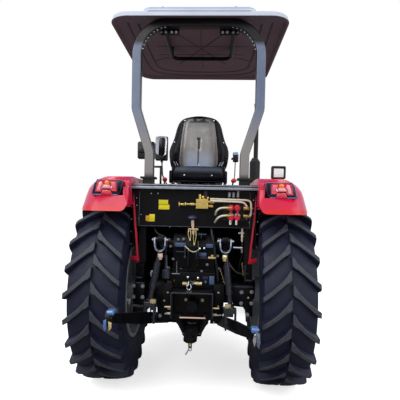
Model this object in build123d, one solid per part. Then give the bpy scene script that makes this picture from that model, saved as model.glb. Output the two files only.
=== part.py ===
from build123d import *
import math
import os

# Four-wheel-drive farm tractor with a roll-over frame, a sun canopy and a rear three-point hitch.
# Millimetres. +Y points forward, +X to the right, +Z up. The ground is Z = 0 and the origin is the
# centre of the plan, at ground level.

# ---- Overall layout ----
front_axle_y = 1100
wheelbase = 2050
rear_axle_y = front_axle_y - wheelbase
front_end_y = front_axle_y + 900
deck_half_width = 444    # the seat deck, between the fenders

# ---- Clearances ----
fit_gap = 0.3            # between pieces that seat on each other across a curved face
pin_play = 0.05          # radial, a pin in its bore
swing_gap = 8            # beside a piece that swings

# ---- Wheels ----
rear_radius, rear_width, rear_track_x = 715, 380, 655
rear_rim_radius, rear_rim_width = 381, 330
front_radius, front_width, front_track_x = 525, 241, 680
front_rim_radius, front_rim_width = 305, 203
rim_wall = 8
rim_flange = 21          # height of the rim's edge over the bead seat
rear_hub_radius, rear_hub_face_x = 105, 480
front_hub_radius, front_hub_face_x = 92, 606

# ---- Rear axle and gearbox ----
rear_case_half_width = 160
rear_case_rear_y, rear_case_front_y = rear_axle_y - 350, rear_axle_y + 230
rear_case_bottom_z, rear_case_top_z = rear_radius - 170, rear_radius + 190
trumpet_radius, trumpet_end_x = 92, deck_half_width - 4
flange_half_height, flange_half_length, flange_thick = 118, 130, 32
tower_top_z, brace_foot_y = rear_radius + 230, rear_axle_y - 250
gearbox_half_width, gearbox_bottom_z, gearbox_top_z = 165, front_radius - 5, 880
bell_height = 110        # the clutch housing stands this much over the gearbox
gearbox_front_y = 400

# ---- Engine ----
engine_front_y = 985
engine_half_width, head_half_width = 150, 185
engine_bottom_z, engine_shelf_z, engine_top_z = front_radius + 50, 800, 1250
drive_shaft_radius = 26

# ---- Front frame and axle ----
bolster_half_width, bolster_wall = 185, 30
bolster_bottom_z, bolster_top_z = front_radius + 115, 770
bolster_front_y = 1600
pivot_radius = 42
front_beam_radius, diff_radius, diff_half_length = 58, 104, 74
radiator_y, radiator_top_z, fan_radius = engine_front_y + 105, 1240, 178
kingpin_x, kingpin_radius = 520, 22
yoke_half_height, yoke_thick, yoke_half_length = 115, 36, 52
knuckle_radius = 66
steer_arm_length, steer_arm_thick = 235, 26
tie_rod_radius = 14
weight_count, weight_thick, weight_gap = 8, 42, 3
weight_rear_y, weight_bottom_z, weight_top_z = 1640, 520, 860
weight_hook, weight_bar_z = 60, 720

# ---- Hood ----
hood_rear_y, hood_front_y = 340, 1560
hood_half_width, hood_nose_half_width = 272, 240
hood_bottom_z, hood_rear_z, hood_nose_z = 965, 1475, 1395
nose_bottom_z = 790
hood_wall = 4
hinge_x, hinge_y, hinge_z, hinge_radius, hinge_top_z = 150, 352, 1448, 6, 1470

# ---- Operator station ----
floor_z, floor_thick = 1080, 6
floor_front_y, floor_half_width, deck_front_y = 300, 480, rear_axle_y + 620
deck_z, deck_lip = 1540, 34
pedestal_post_x = 127
panel_y, panel_bottom_z = rear_axle_y - 380, 1235
sheet = 5
fender_outer_x, fender_top_z, fender_roll, fender_lip = 760, 1590, 140, 150
fender_front_y, fender_rear_y, fender_rear_z = rear_axle_y + 794, rear_axle_y - 598, 1380
fender_hem, fender_hem_z = 22, 1345      # the rear edge turns out below its crease
fender_inner_radius, fender_wall_radius = rear_radius + 30, 610
lamp_inner_x, lamp_outer_x, lamp_bottom_z, lamp_top_z = 475, 690, 1452, 1556
lamp_rear_y, lamp_depth = fender_rear_y + 22, 66
seat_half_width, seat_rear_y, seat_front_y = 235, rear_axle_y + 190, rear_axle_y + 650
seat_pan_z = deck_z + 60
seat_bottom_z, seat_top_z = seat_pan_z + fit_gap, seat_pan_z + 122
back_bottom_z, back_top_z, back_half_width = seat_top_z + 20, seat_top_z + 448, 250
steering_radius = 200
steering_tilt = 40       # degrees of the column from upright
dash_half_width, dash_top_z = 215, 1530
column_foot_y, column_foot_z, column_length = 172, 1395, 380

# ---- Roll-over frame and canopy ----
rops_y, rops_tube_x, rops_tube_y = rear_axle_y - 150, 70, 70
rops_foot_x, rops_foot_z = deck_half_width - 77, deck_z + 65
rops_lean_low_z, rops_lean_high_z, rops_post_x = 1790, 2130, deck_half_width + 31
rops_top_z, rops_corner = 2785, 250
canopy_half_width, canopy_rear_y, canopy_front_y = 686, rear_axle_y - 276, rear_axle_y + 1233
canopy_bottom_z, canopy_top_z, canopy_corner = rops_top_z, rops_top_z + 80, 150
canopy_rim, canopy_wall = 62, 15
canopy_tube_radius, canopy_tube_x = 17, 268
canopy_tube_y, canopy_tube_z = rear_axle_y + 500, rops_top_z - 33

# ---- Three-point hitch ----
rockshaft_y, rockshaft_z, rockshaft_radius = rear_axle_y - 240, rear_radius + 385, 32
lift_arm_x, lift_arm_thick = 225, 30
lift_pin_y, lift_pin_z, lift_pin_radius = rockshaft_y - 260, rockshaft_z + 55, 11
link_pivot_x, link_pivot_radius = 175, 14
link_pivot_y, link_pivot_z = rear_axle_y - 120, rear_radius - 215
link_end_y, link_eye_radius, link_bore_radius = rear_axle_y - 1000, 50, 14.5
link_depth, link_thick, link_pocket = 78, 20, 4
ball_radius, ball_width, eye_thick = 32, 44, 28
rod_place = 0.432        # where the lift rod meets the lower link, as a share of its length
rod_radius, rod_pin_radius = 17, 9
toplink_bore_radius, toplink_hole_z = 12.9, (985, 1037)
pto_z, pto_cap_radius = 680, 37.5
shield_bottom_z, shield_top_z = 610, 785

# ---- Remote couplers ----
coupler_plate_x = deck_half_width - 239, deck_half_width - 82
coupler_x, coupler_z = (deck_half_width - 184, deck_half_width - 140), (1312, 1380)
coupler_places = [(x, z) for x in coupler_x for z in coupler_z]
coupler_left_x, fitting_x, fitting_z, fitting_radius = coupler_x[0] - 38, coupler_x[1] + 38, (1334, 1382), 14
valve_x = coupler_left_x - 209
valve_top_z, port_radius = 1438, 10
valve_ports = ((valve_x + 27, 26), (valve_x + 59, 8))     # each top port: place, height of its pipe
pipe_stand, pipe_radius, pipe_bend = 32, 6, 16
sides = (                # side name, its sign, link end x, link end z
    ("left", -1, 445, 741),
    ("right", 1, 396, 667),
)

LOW = (Align.CENTER, Align.CENTER, Align.MIN)
nodes = {}


def block(x, y, z, edge=0):
    """A box between three (low, high) spans, its edges rounded by edge."""
    solid = Pos((x[0] + x[1]) / 2, (y[0] + y[1]) / 2, (z[0] + z[1]) / 2) * Box(
        x[1] - x[0], y[1] - y[0], z[1] - z[0]
    )
    return fillet(solid.edges(), edge) if edge else solid


def bar(start, end, radius):
    """A round bar from start to end."""
    along = Vector(*end) - Vector(*start)
    return Plane(origin=start, z_dir=along).location * Cylinder(radius, along.length, align=LOW)


def pipe(points, radius, bend):
    """A round bar bent along points."""
    path = FilletPolyline(*points, radius=bend)
    return sweep(Plane(origin=path @ 0, z_dir=path % 0) * Circle(radius), path=path)


def outline(points, edge=0):
    shape = Polygon(*points, align=None)
    return fillet(shape.vertices(), edge) if edge else shape


def side_plate(points, x, edge=0):
    """An outline of (y, z) points, as thick as the span x."""
    return extrude(Plane.YZ.offset(x[0]) * outline(points, edge), amount=x[1] - x[0], dir=(1, 0, 0))


def cross_plate(points, y, edge=0):
    """An outline of (x, z) points, as thick as the span y."""
    return extrude(Plane.XZ.offset(-y[0]) * outline(points, edge), amount=y[1] - y[0], dir=(0, 1, 0))


def flat_plate(points, z, edge=0):
    """An outline of (x, y) points, as thick as the span z."""
    return extrude(Plane.XY.offset(z[0]) * outline(points, edge), amount=z[1] - z[0], dir=(0, 0, 1))


def both(shape):
    """The shape and its mirror image on the other side."""
    return shape + mirror(shape, about=Plane.YZ)


def add(name, shape):
    nodes[name] = shape


# ---- Wheels ----
def tyre(radius, width, rim_radius, rim_width):
    """Carcass to the top of the lugs, on the bead seats of its rim."""
    bead_x, bead_r = rim_width / 2 - fit_gap, rim_radius + fit_gap
    flange_r = rim_radius + rim_flange + 3
    shoulder = (width / 2 - 11, radius - 25)
    waist = (width / 2, rim_radius + 0.52 * (radius - rim_radius))
    edges = Line((-bead_x, bead_r), (bead_x, bead_r))
    edges += Line((bead_x, bead_r), (bead_x, flange_r))
    edges += ThreePointArc((bead_x, flange_r), waist, shoulder)
    edges += ThreePointArc(shoulder, (0, radius), (-shoulder[0], shoulder[1]))
    edges += ThreePointArc((-shoulder[0], shoulder[1]), (-waist[0], waist[1]), (-bead_x, flange_r))
    edges += Line((-bead_x, flange_r), (-bead_x, bead_r))
    return revolve(make_face(edges), axis=Axis.X)


def rim(rim_radius, rim_width, disc_x, hub_radius, hub_length, holes):
    """Well-base rim with its disc, and the hub that it is bolted to, which reaches inwards."""
    half = rim_width / 2
    well = rim_radius - 30
    barrel = Polygon(
        (-half - rim_wall, rim_radius + rim_flange), (-half, rim_radius + rim_flange),
        (-half, rim_radius), (-half * 0.5, rim_radius), (-half * 0.38, well),
        (half * 0.38, well), (half * 0.5, rim_radius), (half, rim_radius),
        (half, rim_radius + rim_flange), (half + rim_wall, rim_radius + rim_flange),
        (half + rim_wall, rim_radius - rim_wall), (half * 0.5 + 4, rim_radius - rim_wall),
        (half * 0.38 + 4, well - rim_wall), (-half * 0.38 - 4, well - rim_wall),
        (-half * 0.5 - 4, rim_radius - rim_wall), (-half - rim_wall, rim_radius - rim_wall),
        align=None,
    )
    dish = 0.34 * rim_width
    disc = Polygon(
        (disc_x, 0), (disc_x, hub_radius * 1.25), (disc_x + dish, well - rim_wall + 2),
        (disc_x + dish + 12, well - rim_wall + 2), (disc_x + 12, hub_radius * 1.25), (disc_x + 12, 0),
        align=None,
    )
    wheel = revolve(barrel, axis=Axis.X) + revolve(disc, axis=Axis.X)
    hole_r = (hub_radius * 1.25 + well) / 2
    for turn in range(holes):
        angle = 2 * math.pi * (turn + 0.5) / holes
        centre = (disc_x, hole_r * math.cos(angle), hole_r * math.sin(angle))
        wheel -= bar(centre, (disc_x + dish, centre[1], centre[2]), hole_r * 0.12)
    wheel += bar((disc_x - hub_length, 0, 0), (disc_x, 0, 0), hub_radius)
    wheel += bar((disc_x + 12, 0, 0), (disc_x + 52, 0, 0), hub_radius * 0.62)
    return wheel


def wheels():
    rear_disc = -70
    front_disc = -34
    table = (  # name, track, axle y, radius, width, rim radius, rim width, disc place, hub, hub face
        ("rear", rear_track_x, rear_axle_y, rear_radius, rear_width, rear_rim_radius,
         rear_rim_width, rear_disc, rear_hub_radius, rear_hub_face_x, 8),
        ("front", front_track_x, front_axle_y, front_radius, front_width, front_rim_radius,
         front_rim_width, front_disc, front_hub_radius, front_hub_face_x, 6),
    )
    for name, track, y, radius, width, rim_r, rim_w, disc_x, hub_r, hub_face, holes in table:
        right_tyre = Pos(track, y, radius) * tyre(radius, width, rim_r, rim_w)
        hub_length = track + disc_x - hub_face
        right_rim = Pos(track, y, radius) * rim(rim_r, rim_w, disc_x, hub_r, hub_length, holes)
        add(name + "_tyre_right", right_tyre)
        add(name + "_rim_right", right_rim)
        add(name + "_tyre_left", mirror(right_tyre, about=Plane.YZ))
        add(name + "_rim_left", mirror(right_rim, about=Plane.YZ))


# ---- Backbone ----
def rear_axle_housing():
    half = rear_case_half_width
    case = side_plate(
        [(rear_case_rear_y, rear_case_bottom_z + 26), (rear_case_rear_y + 26, rear_case_bottom_z),
         (rear_case_front_y, rear_case_bottom_z), (rear_case_front_y, rear_case_top_z),
         (rear_case_rear_y, rear_case_top_z)],
        (-half, half), 10)
    case += block((-half + 22, half - 22), (rear_case_rear_y - 12, rear_case_rear_y + 20),
                  (shield_top_z + 4, rear_case_top_z - 16), 5)
    collar_end, flange_in = half + 60, trumpet_end_x - flange_thick
    trumpet = revolve(Polygon(
        (half - 5, 0), (half - 5, trumpet_radius + 34), (collar_end, trumpet_radius + 34),
        (collar_end + 26, trumpet_radius + 8), (flange_in, trumpet_radius), (flange_in, 0), align=None), axis=Axis.X)
    trumpet = Pos(0, rear_axle_y, rear_radius) * trumpet
    for lift in (-1, 1):
        trumpet += cross_plate([(collar_end - 4, rear_radius + lift * 60), (flange_in + 4, rear_radius + lift * 60),
                                (flange_in + 4, rear_radius + lift * (flange_half_height - 8)),
                                (collar_end - 4, rear_radius + lift * (trumpet_radius + 24))],
                               (rear_axle_y - 7, rear_axle_y + 7))
    end = block((flange_in, trumpet_end_x),
                (rear_axle_y - flange_half_length, rear_axle_y + flange_half_length),
                (rear_radius - flange_half_height, rear_radius + flange_half_height), 8)
    nose = bar((trumpet_end_x, rear_axle_y, rear_radius),
               (rear_hub_face_x - fit_gap, rear_axle_y, rear_radius), trumpet_radius - 14)
    tower = side_plate(
        [(brace_foot_y - 26, tower_top_z - 125), (brace_foot_y - 26, tower_top_z), (rear_axle_y + 20, tower_top_z),
         (rear_axle_y + 20, rear_radius), (rear_axle_y - 100, rear_radius)],
        (trumpet_end_x - 66, trumpet_end_x - 4), 8)
    return case + both(trumpet + end + nose + tower)


def transmission():
    half = gearbox_half_width
    slope_y = gearbox_front_y - 340
    box = side_plate(
        [(rear_case_front_y, gearbox_bottom_z + 30), (rear_case_front_y + 160, gearbox_bottom_z),
         (gearbox_front_y - 280, gearbox_bottom_z), (gearbox_front_y, gearbox_bottom_z + 60),
         (gearbox_front_y, gearbox_top_z + bell_height), (gearbox_front_y - 160, gearbox_top_z + bell_height),
         (slope_y, gearbox_top_z), (rear_case_front_y, gearbox_top_z)],
        (-half, half), 12)
    for y in (rear_case_front_y, slope_y - 24, gearbox_front_y - 24):
        top = gearbox_top_z + (bell_height if y > slope_y else 0)
        box += block((-half - 14, half + 14), (y, y + 24), (gearbox_bottom_z + 66, top - 24), 6)
    transfer_y = gearbox_front_y - 400
    shaft = bar((0, transfer_y + 110, front_radius), (0, engine_front_y - fit_gap, front_radius), drive_shaft_radius)
    return box + shaft + block((-60, 60), (transfer_y, transfer_y + 130), (front_radius - 50, front_radius + 50), 8)


def engine_block():
    half = engine_half_width
    lower = block((-half, half), (gearbox_front_y, engine_front_y), (engine_bottom_z, engine_shelf_z), 10)
    head_rear, head_front = gearbox_front_y + 30, engine_front_y - 20
    upper = block((-head_half_width, head_half_width), (head_rear, head_front),
                  (engine_shelf_z - 20, engine_top_z - 70), 14)
    cover = block((-110, 90), (head_rear + 30, head_front - 30), (engine_top_z - 90, engine_top_z), 18)
    sump = block((-half + 20, half - 20), (gearbox_front_y + 60, engine_front_y - 120),
                 (engine_bottom_z - 16, engine_bottom_z + 20), 6)
    filter_y = gearbox_front_y + 150
    oil_filter = bar((-half - 46, filter_y, 650), (-half - 46, filter_y, 770), 46)
    oil_filter += block((-half - 60, -half + 10), (filter_y - 36, filter_y + 36), (762, 800), 6)
    pump = block((-half - 60, -half + 10), (gearbox_front_y + 300, gearbox_front_y + 500), (660, 770), 14)
    starter = bar((half + 34, gearbox_front_y + 30, 690), (half + 34, gearbox_front_y + 240, 690), 44)
    starter += block((half - 10, half + 40), (gearbox_front_y + 60, gearbox_front_y + 200), (660, 720), 6)
    pulley = bar((0, head_front - 2, 900), (0, engine_front_y + 40, 900), 24)
    pulley += bar((0, engine_front_y + 4, 900), (0, engine_front_y + 28, 900), 82)
    return lower + upper + cover + sump + oil_filter + pump + starter + pulley


def hydraulic_lift_housing():
    half = 150
    rear_y, front_y = rear_case_rear_y, rear_case_front_y - 20
    body = side_plate(
        [(rear_y + 30, rear_case_top_z), (front_y, rear_case_top_z), (front_y, rear_case_top_z + 80),
         (rockshaft_y + 130, rockshaft_z + 75), (rockshaft_y - 55, rockshaft_z + 85), (rear_y + 10, rockshaft_z - 10)],
        (-half, half), 12)
    body += side_plate(
        [(rear_y + 14, rear_case_top_z + 2), (front_y - 60, rear_case_top_z + 2), (front_y - 60, rear_case_top_z + 24),
         (rear_y + 14, rear_case_top_z + 24)], (-half - 8, half + 8))
    body += block((-70, 70), (rockshaft_y - 40, rockshaft_y + 120), (rockshaft_z + 60, rockshaft_z + 97), 6)
    arm_face = lift_arm_x - lift_arm_thick / 2 - 6
    boss = bar((-arm_face, rockshaft_y, rockshaft_z), (arm_face, rockshaft_y, rockshaft_z), rockshaft_radius + 26)
    bore = bar((-300, rockshaft_y, rockshaft_z), (300, rockshaft_y, rockshaft_z),
               rockshaft_radius + pin_play)
    return body + boss - bore


# ---- Front frame, axle and steering ----
def front_bolster():
    rail = block((bolster_half_width - bolster_wall, bolster_half_width),
                 (engine_front_y, bolster_front_y), (bolster_bottom_z, bolster_top_z), 6)
    rear = block((-bolster_half_width, bolster_half_width), (engine_front_y, engine_front_y + 36),
                 (bolster_bottom_z - 20, bolster_top_z + 40), 6)
    front = block((-bolster_half_width, bolster_half_width), (bolster_front_y - 34, bolster_front_y),
                  (bolster_bottom_z - 60, bolster_top_z + 20), 6)
    floor = block((-bolster_half_width, bolster_half_width), (engine_front_y, bolster_front_y),
                  (bolster_bottom_z, bolster_bottom_z + 24), 4)
    frame = both(rail) + rear + front + floor
    for y in (engine_front_y, 2 * front_axle_y - engine_front_y - 32):
        frame += cross_plate([(-100, front_radius - 60), (100, front_radius - 60),
                              (120, bolster_bottom_z + 12), (-120, bolster_bottom_z + 12)],
                             (y, y + 32), 10)
        frame -= bar((0, y - 5, front_radius), (0, y + 40, front_radius), pivot_radius + fit_gap)
    bracket = block((-weight_count / 2 * (weight_thick + weight_gap),
                     weight_count / 2 * (weight_thick + weight_gap)),
                    (bolster_front_y, weight_rear_y + weight_hook), (weight_bar_z - 70, weight_bar_z), 5)
    return frame + bracket


def front_axle():
    beam = bar((-kingpin_x + 85, front_axle_y, front_radius),
               (kingpin_x - 85, front_axle_y, front_radius), front_beam_radius)
    case = bar((0, front_axle_y - diff_half_length, front_radius),
               (0, front_axle_y + diff_half_length, front_radius), diff_radius)
    case = fillet(case.edges().filter_by(GeomType.CIRCLE), 22)
    case += bar((-150, front_axle_y, front_radius), (150, front_axle_y, front_radius), front_beam_radius + 14)
    reach = front_axle_y - engine_front_y
    pivot = bar((0, front_axle_y - reach, front_radius), (0, front_axle_y + reach, front_radius), pivot_radius)
    yoke = block((kingpin_x - 118, kingpin_x + 48),
                 (front_axle_y - yoke_half_length, front_axle_y + yoke_half_length),
                 (front_radius - yoke_half_height, front_radius + yoke_half_height), 10)
    space = block((kingpin_x - knuckle_radius - swing_gap, kingpin_x + 60),
                  (front_axle_y - 80, front_axle_y + 80),
                  (front_radius - yoke_half_height + yoke_thick, front_radius + yoke_half_height - yoke_thick))
    pin_hole = bar((kingpin_x, front_axle_y, front_radius - 200), (kingpin_x, front_axle_y, front_radius + 200),
                   kingpin_radius + pin_play)
    return beam + case + pivot + both(yoke - space - pin_hole)


def knuckle():
    """Right-hand swivel housing with its kingpins, stub and steering arm."""
    half = yoke_half_height - yoke_thick - fit_gap
    body = bar((kingpin_x, front_axle_y, front_radius - half),
               (kingpin_x, front_axle_y, front_radius + half), knuckle_radius)
    pin = bar((kingpin_x, front_axle_y, front_radius - yoke_half_height - 6),
              (kingpin_x, front_axle_y, front_radius + yoke_half_height + 6), kingpin_radius)
    stub = bar((kingpin_x, front_axle_y, front_radius),
               (front_hub_face_x - fit_gap, front_axle_y, front_radius), 60)
    arm_end = front_axle_y + steer_arm_length
    arm = block((kingpin_x - 20, kingpin_x + 20), (front_axle_y, arm_end),
                (front_radius - steer_arm_thick / 2, front_radius + steer_arm_thick / 2), 4)
    eye = Pos(kingpin_x, arm_end, front_radius) * Cylinder(24, steer_arm_thick)
    ball = bar((kingpin_x, arm_end, front_radius), (kingpin_x, arm_end, front_radius + 52), 9)
    return body + pin + stub + arm + eye + ball


def tie_rod():
    y, z = front_axle_y + steer_arm_length, front_radius + 36
    rod = bar((-kingpin_x + 16, y, z), (kingpin_x - 16, y, z), tie_rod_radius)
    for x in (-kingpin_x, kingpin_x):
        rod += Pos(x, y, z) * Cylinder(24, 26)
    for x in (-kingpin_x, kingpin_x):
        rod -= Pos(x, y, z) * Cylinder(9 + pin_play, 60)
    return rod


def front_weights():
    pitch = weight_thick + weight_gap
    notch_y = weight_rear_y + weight_hook + 2
    profile = [(notch_y, weight_bottom_z), (front_end_y - 60, weight_bottom_z),
               (front_end_y, weight_bottom_z + 90), (front_end_y, weight_top_z - 60),
               (front_end_y - 60, weight_top_z), (weight_rear_y, weight_top_z),
               (weight_rear_y, weight_bar_z), (notch_y, weight_bar_z)]
    rack = None
    for index in range(weight_count):
        x = (index - weight_count / 2 + 0.5) * pitch
        slab = side_plate(profile, (x - weight_thick / 2, x + weight_thick / 2))
        rack = slab if rack is None else rack + slab
    return rack + bar((-weight_count / 2 * pitch, front_end_y - 150, 780),
                      (weight_count / 2 * pitch, front_end_y - 150, 780), 12)


def radiator():
    y, top, low = radiator_y, radiator_top_z, bolster_top_z
    core = block((-220, 220), (y, y + 70), (low + 4, top), 8)
    for index in range(11):
        z = low + 60 + index * 36
        core -= block((-196, 196), (y + 62, y + 80), (z, z + 22))
    core += bar((60, y + 34, top - 4), (60, y + 34, top + 22), 30)
    foot = block((-bolster_half_width, bolster_half_width), (y - 10, y + 80), (low, low + 20))
    fan_z = low + 230
    shroud = bar((0, y - 50, fan_z), (0, y + 2, fan_z), fan_radius + 22)
    shroud -= bar((0, y - 60, fan_z), (0, y - 5, fan_z), fan_radius + 12)
    hub = bar((0, y - 44, fan_z), (0, y + 2, fan_z), 46)
    for index in range(7):
        blade = Pos(0, 0, fan_radius / 2 + 10) * Rot(0, 0, 28) * Box(52, 6, fan_radius - 30)
        hub += Pos(0, y - 24, fan_z) * Rot(0, index * 360 / 7, 0) * blade
    return core + foot + shroud + hub


# ---- Hood ----
def hood_section(half, bottom, top, shrink):
    corner = 95 - shrink
    points = [(-half + shrink, bottom), (half - shrink, bottom), (half - shrink, top - shrink),
              (-half + shrink, top - shrink)]
    shape = Polygon(*points, align=None)
    upper = shape.vertices().sort_by(Axis.Y)[-2:]
    return fillet(upper, corner)


def hood_form(shrink, extra):
    """Tapered hood body, closed at both ends; shrink draws its faces in."""
    rows = (  # y, half width, bottom, top
        (hood_rear_y - extra, hood_half_width, hood_bottom_z, hood_rear_z),
        (hood_front_y - 160, hood_half_width - 14, hood_bottom_z, hood_nose_z + 20),
        (hood_front_y - shrink, hood_nose_half_width, hood_bottom_z, hood_nose_z - 90),
    )
    sections = [Plane.XZ.offset(-y) * hood_section(half, bottom - extra, top, shrink)
                for y, half, bottom, top in rows]
    return loft(sections, ruled=True)


def hood_shell():
    shell = hood_form(0, 0) - hood_form(hood_wall, 20)
    mouth = block((-hood_nose_half_width + 50, hood_nose_half_width - 50),
                  (hood_front_y - 20, hood_front_y + 20), (hood_bottom_z - 10, hood_nose_z - 140))
    ear = side_plate([(hinge_y - 14, hinge_z - 12), (hinge_y + 14, hinge_z - 12), (hinge_y + 20, hinge_top_z),
                      (hinge_y - 4, hinge_top_z)], (hinge_x - 6, hinge_x))
    ear -= bar((hinge_x - 10, hinge_y, hinge_z), (hinge_x + 10, hinge_y, hinge_z), hinge_radius + pin_play)
    for index in range(6):
        y, wide = 1010 + index * 62, hood_half_width + 20
        slot = side_plate([(y, 1080), (y + 22, 1080), (y + 62, 1250), (y + 40, 1250)], (-wide, wide))
        shell -= slot - block((-200, 200), (y - 100, y + 200), (1000, 1300))
    notch = block((hinge_x, hinge_x + 12), (hood_rear_y - 2, hinge_y + 18), (hinge_z, hood_rear_z + 2))
    return shell - mouth - both(notch) + both(ear)


def grille():
    half = hood_nose_half_width - 6
    frame = block((-half, half), (hood_front_y - 34, hood_front_y - 8), (nose_bottom_z, hood_bottom_z - 1), 5)
    window = block((-half + 26, half - 26), (hood_front_y - 40, hood_front_y), (nose_bottom_z + 24, hood_bottom_z - 24))
    frame -= window
    for index in range(9):
        z = nose_bottom_z + 36 + index * 13
        frame += block((-half + 24, half - 24), (hood_front_y - 28, hood_front_y - 14), (z, z + 4))
    wall = hood_front_y - hood_wall
    upper = block((-half + 32, half - 32), (wall - 10, wall), (hood_bottom_z - 20, hood_nose_z - 130))
    for index in range(8):
        z = hood_bottom_z + 8 + index * 17
        upper += block((-half + 44, half - 44), (wall - 4, hood_front_y + 4), (z, z + 7))
    return frame + upper


def headlights():
    lamp = block((100, hood_nose_half_width - 54), (hood_front_y - hood_wall, hood_front_y + 6), (1120, 1225))
    return both(lamp)


# ---- Operator station ----
def platform():
    narrow, wide = deck_half_width - 4, floor_half_width
    back, shoulder, front = deck_front_y, fender_front_y + 4, floor_front_y
    floor = flat_plate([(-narrow, back), (narrow, back), (narrow, shoulder), (wide, shoulder),
                        (wide, front), (-wide, front), (-wide, shoulder), (-narrow, shoulder)],
                       (floor_z - floor_thick, floor_z))
    skirt = both(block((wide - 6, wide), (shoulder, front), (floor_z - 60, floor_z)))
    beam = wide - 40
    cross = block((-beam, beam), (front - 420, front - 360), (floor_z - 56, floor_z - floor_thick))
    cross += block((-beam, beam), (front - 100, front - 40), (floor_z - 56, floor_z - floor_thick))
    post_in, post_out = pedestal_post_x - 17, pedestal_post_x + 17
    post = block((post_in, post_out), (front - 410, front - 370), (gearbox_top_z, floor_z - 50))
    post += block((post_in, post_out), (front - 48, front - 14), (gearbox_top_z + bell_height, floor_z - 6))
    step_back, step_front = front - 360, front - 100
    tread, nose, hang = wide - 50, wide + 80, wide - 44
    step = flat_plate([(tread, step_back), (nose, step_back), (nose + 30, step_back + 30),
                       (nose + 30, step_front - 30), (nose, step_front), (tread, step_front)], (640, 648))
    step += flat_plate([(tread, step_back), (nose, step_back), (nose, step_front), (tread, step_front)], (860, 868))
    for y in (step_back, step_front - 8):
        step += cross_plate([(hang, 640), (wide + 12, 640), (wide - 10, floor_z - 50), (hang, floor_z - 50)],
                            (y, y + 8))
    return floor + skirt + cross + both(post + step)


def steering_column(start, end, radius):
    """A round bar on the steering axis, between two distances from the column's foot."""
    lean = math.radians(steering_tilt)
    points = [(0, column_foot_y - d * math.sin(lean), column_foot_z + d * math.cos(lean)) for d in (start, end)]
    return bar(points[0], points[1], radius)


def dashboard():
    back = floor_front_y + 20
    body = side_plate([(back - 155, floor_z), (back, floor_z), (back, dash_top_z - 40), (back - 70, dash_top_z),
                       (back - 200, dash_top_z - 90), (back - 130, dash_top_z - 200)],
                      (-dash_half_width, dash_half_width), 14)
    body += steering_column(0, column_length * 0.55, 46)
    hinge = side_plate([(floor_front_y + 20, hinge_z - 24), (hinge_y + 10, hinge_z - 12),
                        (hinge_y + 10, hinge_z + 12), (floor_front_y + 20, hinge_z + 20)],
                       (hinge_x + 2, hinge_x + 8))
    pin = bar((hinge_x - 10, hinge_y, hinge_z), (hinge_x + 8, hinge_y, hinge_z), hinge_radius)
    return body + steering_column(0, column_length - 17 - fit_gap, 24) + both(hinge + pin)


def steering_wheel():
    ring = Torus(steering_radius, 14)
    hub = Cylinder(36, 34)
    spokes = None
    for angle in (90, 210, 330):
        spoke = Rot(0, 0, angle) * Pos(steering_radius / 2, 0, 0) * Box(steering_radius - 10, 30, 10)
        spokes = spoke if spokes is None else spokes + spoke
    wheel = ring + hub + spokes
    lean = math.radians(steering_tilt)
    return (Pos(0, column_foot_y - column_length * math.sin(lean),
                column_foot_z + column_length * math.cos(lean)) * Rot(steering_tilt, 0, 0) * wheel)


def rear_deck():
    """Seat deck: top sheet with a turned-down edge, rear panel in a raised border, and pedestal sides."""
    half = deck_half_width
    top = block((-half, half), (panel_y, deck_front_y), (deck_z - sheet, deck_z))
    rim_edge = cross_plate([(-half, deck_z - deck_lip), (half, deck_z - deck_lip), (half, deck_z),
                            (-half, deck_z)], (panel_y - 70, panel_y + 2))
    rim_edge -= block((-half + sheet, half - sheet), (panel_y - 64, panel_y + 10),
                      (deck_z - deck_lip - 5, deck_z - sheet))
    panel = block((-half, half), (panel_y, panel_y + sheet), (panel_bottom_z, deck_z - 1))
    border = Rectangle(2 * half - 80, deck_z - panel_bottom_z - 60)
    border -= RectangleRounded(2 * half - 124, deck_z - panel_bottom_z - 104, 56)
    middle_z = (deck_z - deck_lip + panel_bottom_z) / 2
    panel += extrude(Plane.XZ.offset(3 - panel_y) * Pos(0, middle_z) * border, amount=4, dir=(0, 1, 0))
    side = both(block((half - sheet, half), (panel_y, deck_front_y), (floor_z, deck_z - 1)))
    front = block((-half, half), (deck_front_y - sheet, deck_front_y), (floor_z, deck_z - 1))
    gusset = both(side_plate([(panel_y, deck_z - 150), (panel_y - 66, deck_z - deck_lip + 1),
                              (panel_y, deck_z - deck_lip + 1)], (half - sheet, half)))
    return top + rim_edge + panel + side + front + gusset


def lamp_outline(gap):
    """Tail lamp seen from behind, drawn out by gap."""
    return [(lamp_inner_x - gap, lamp_bottom_z - gap), (lamp_outer_x + gap, lamp_bottom_z - gap),
            (lamp_outer_x - 10 + gap, lamp_top_z + gap), (lamp_inner_x + 15 - gap, lamp_top_z + gap)]


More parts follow.
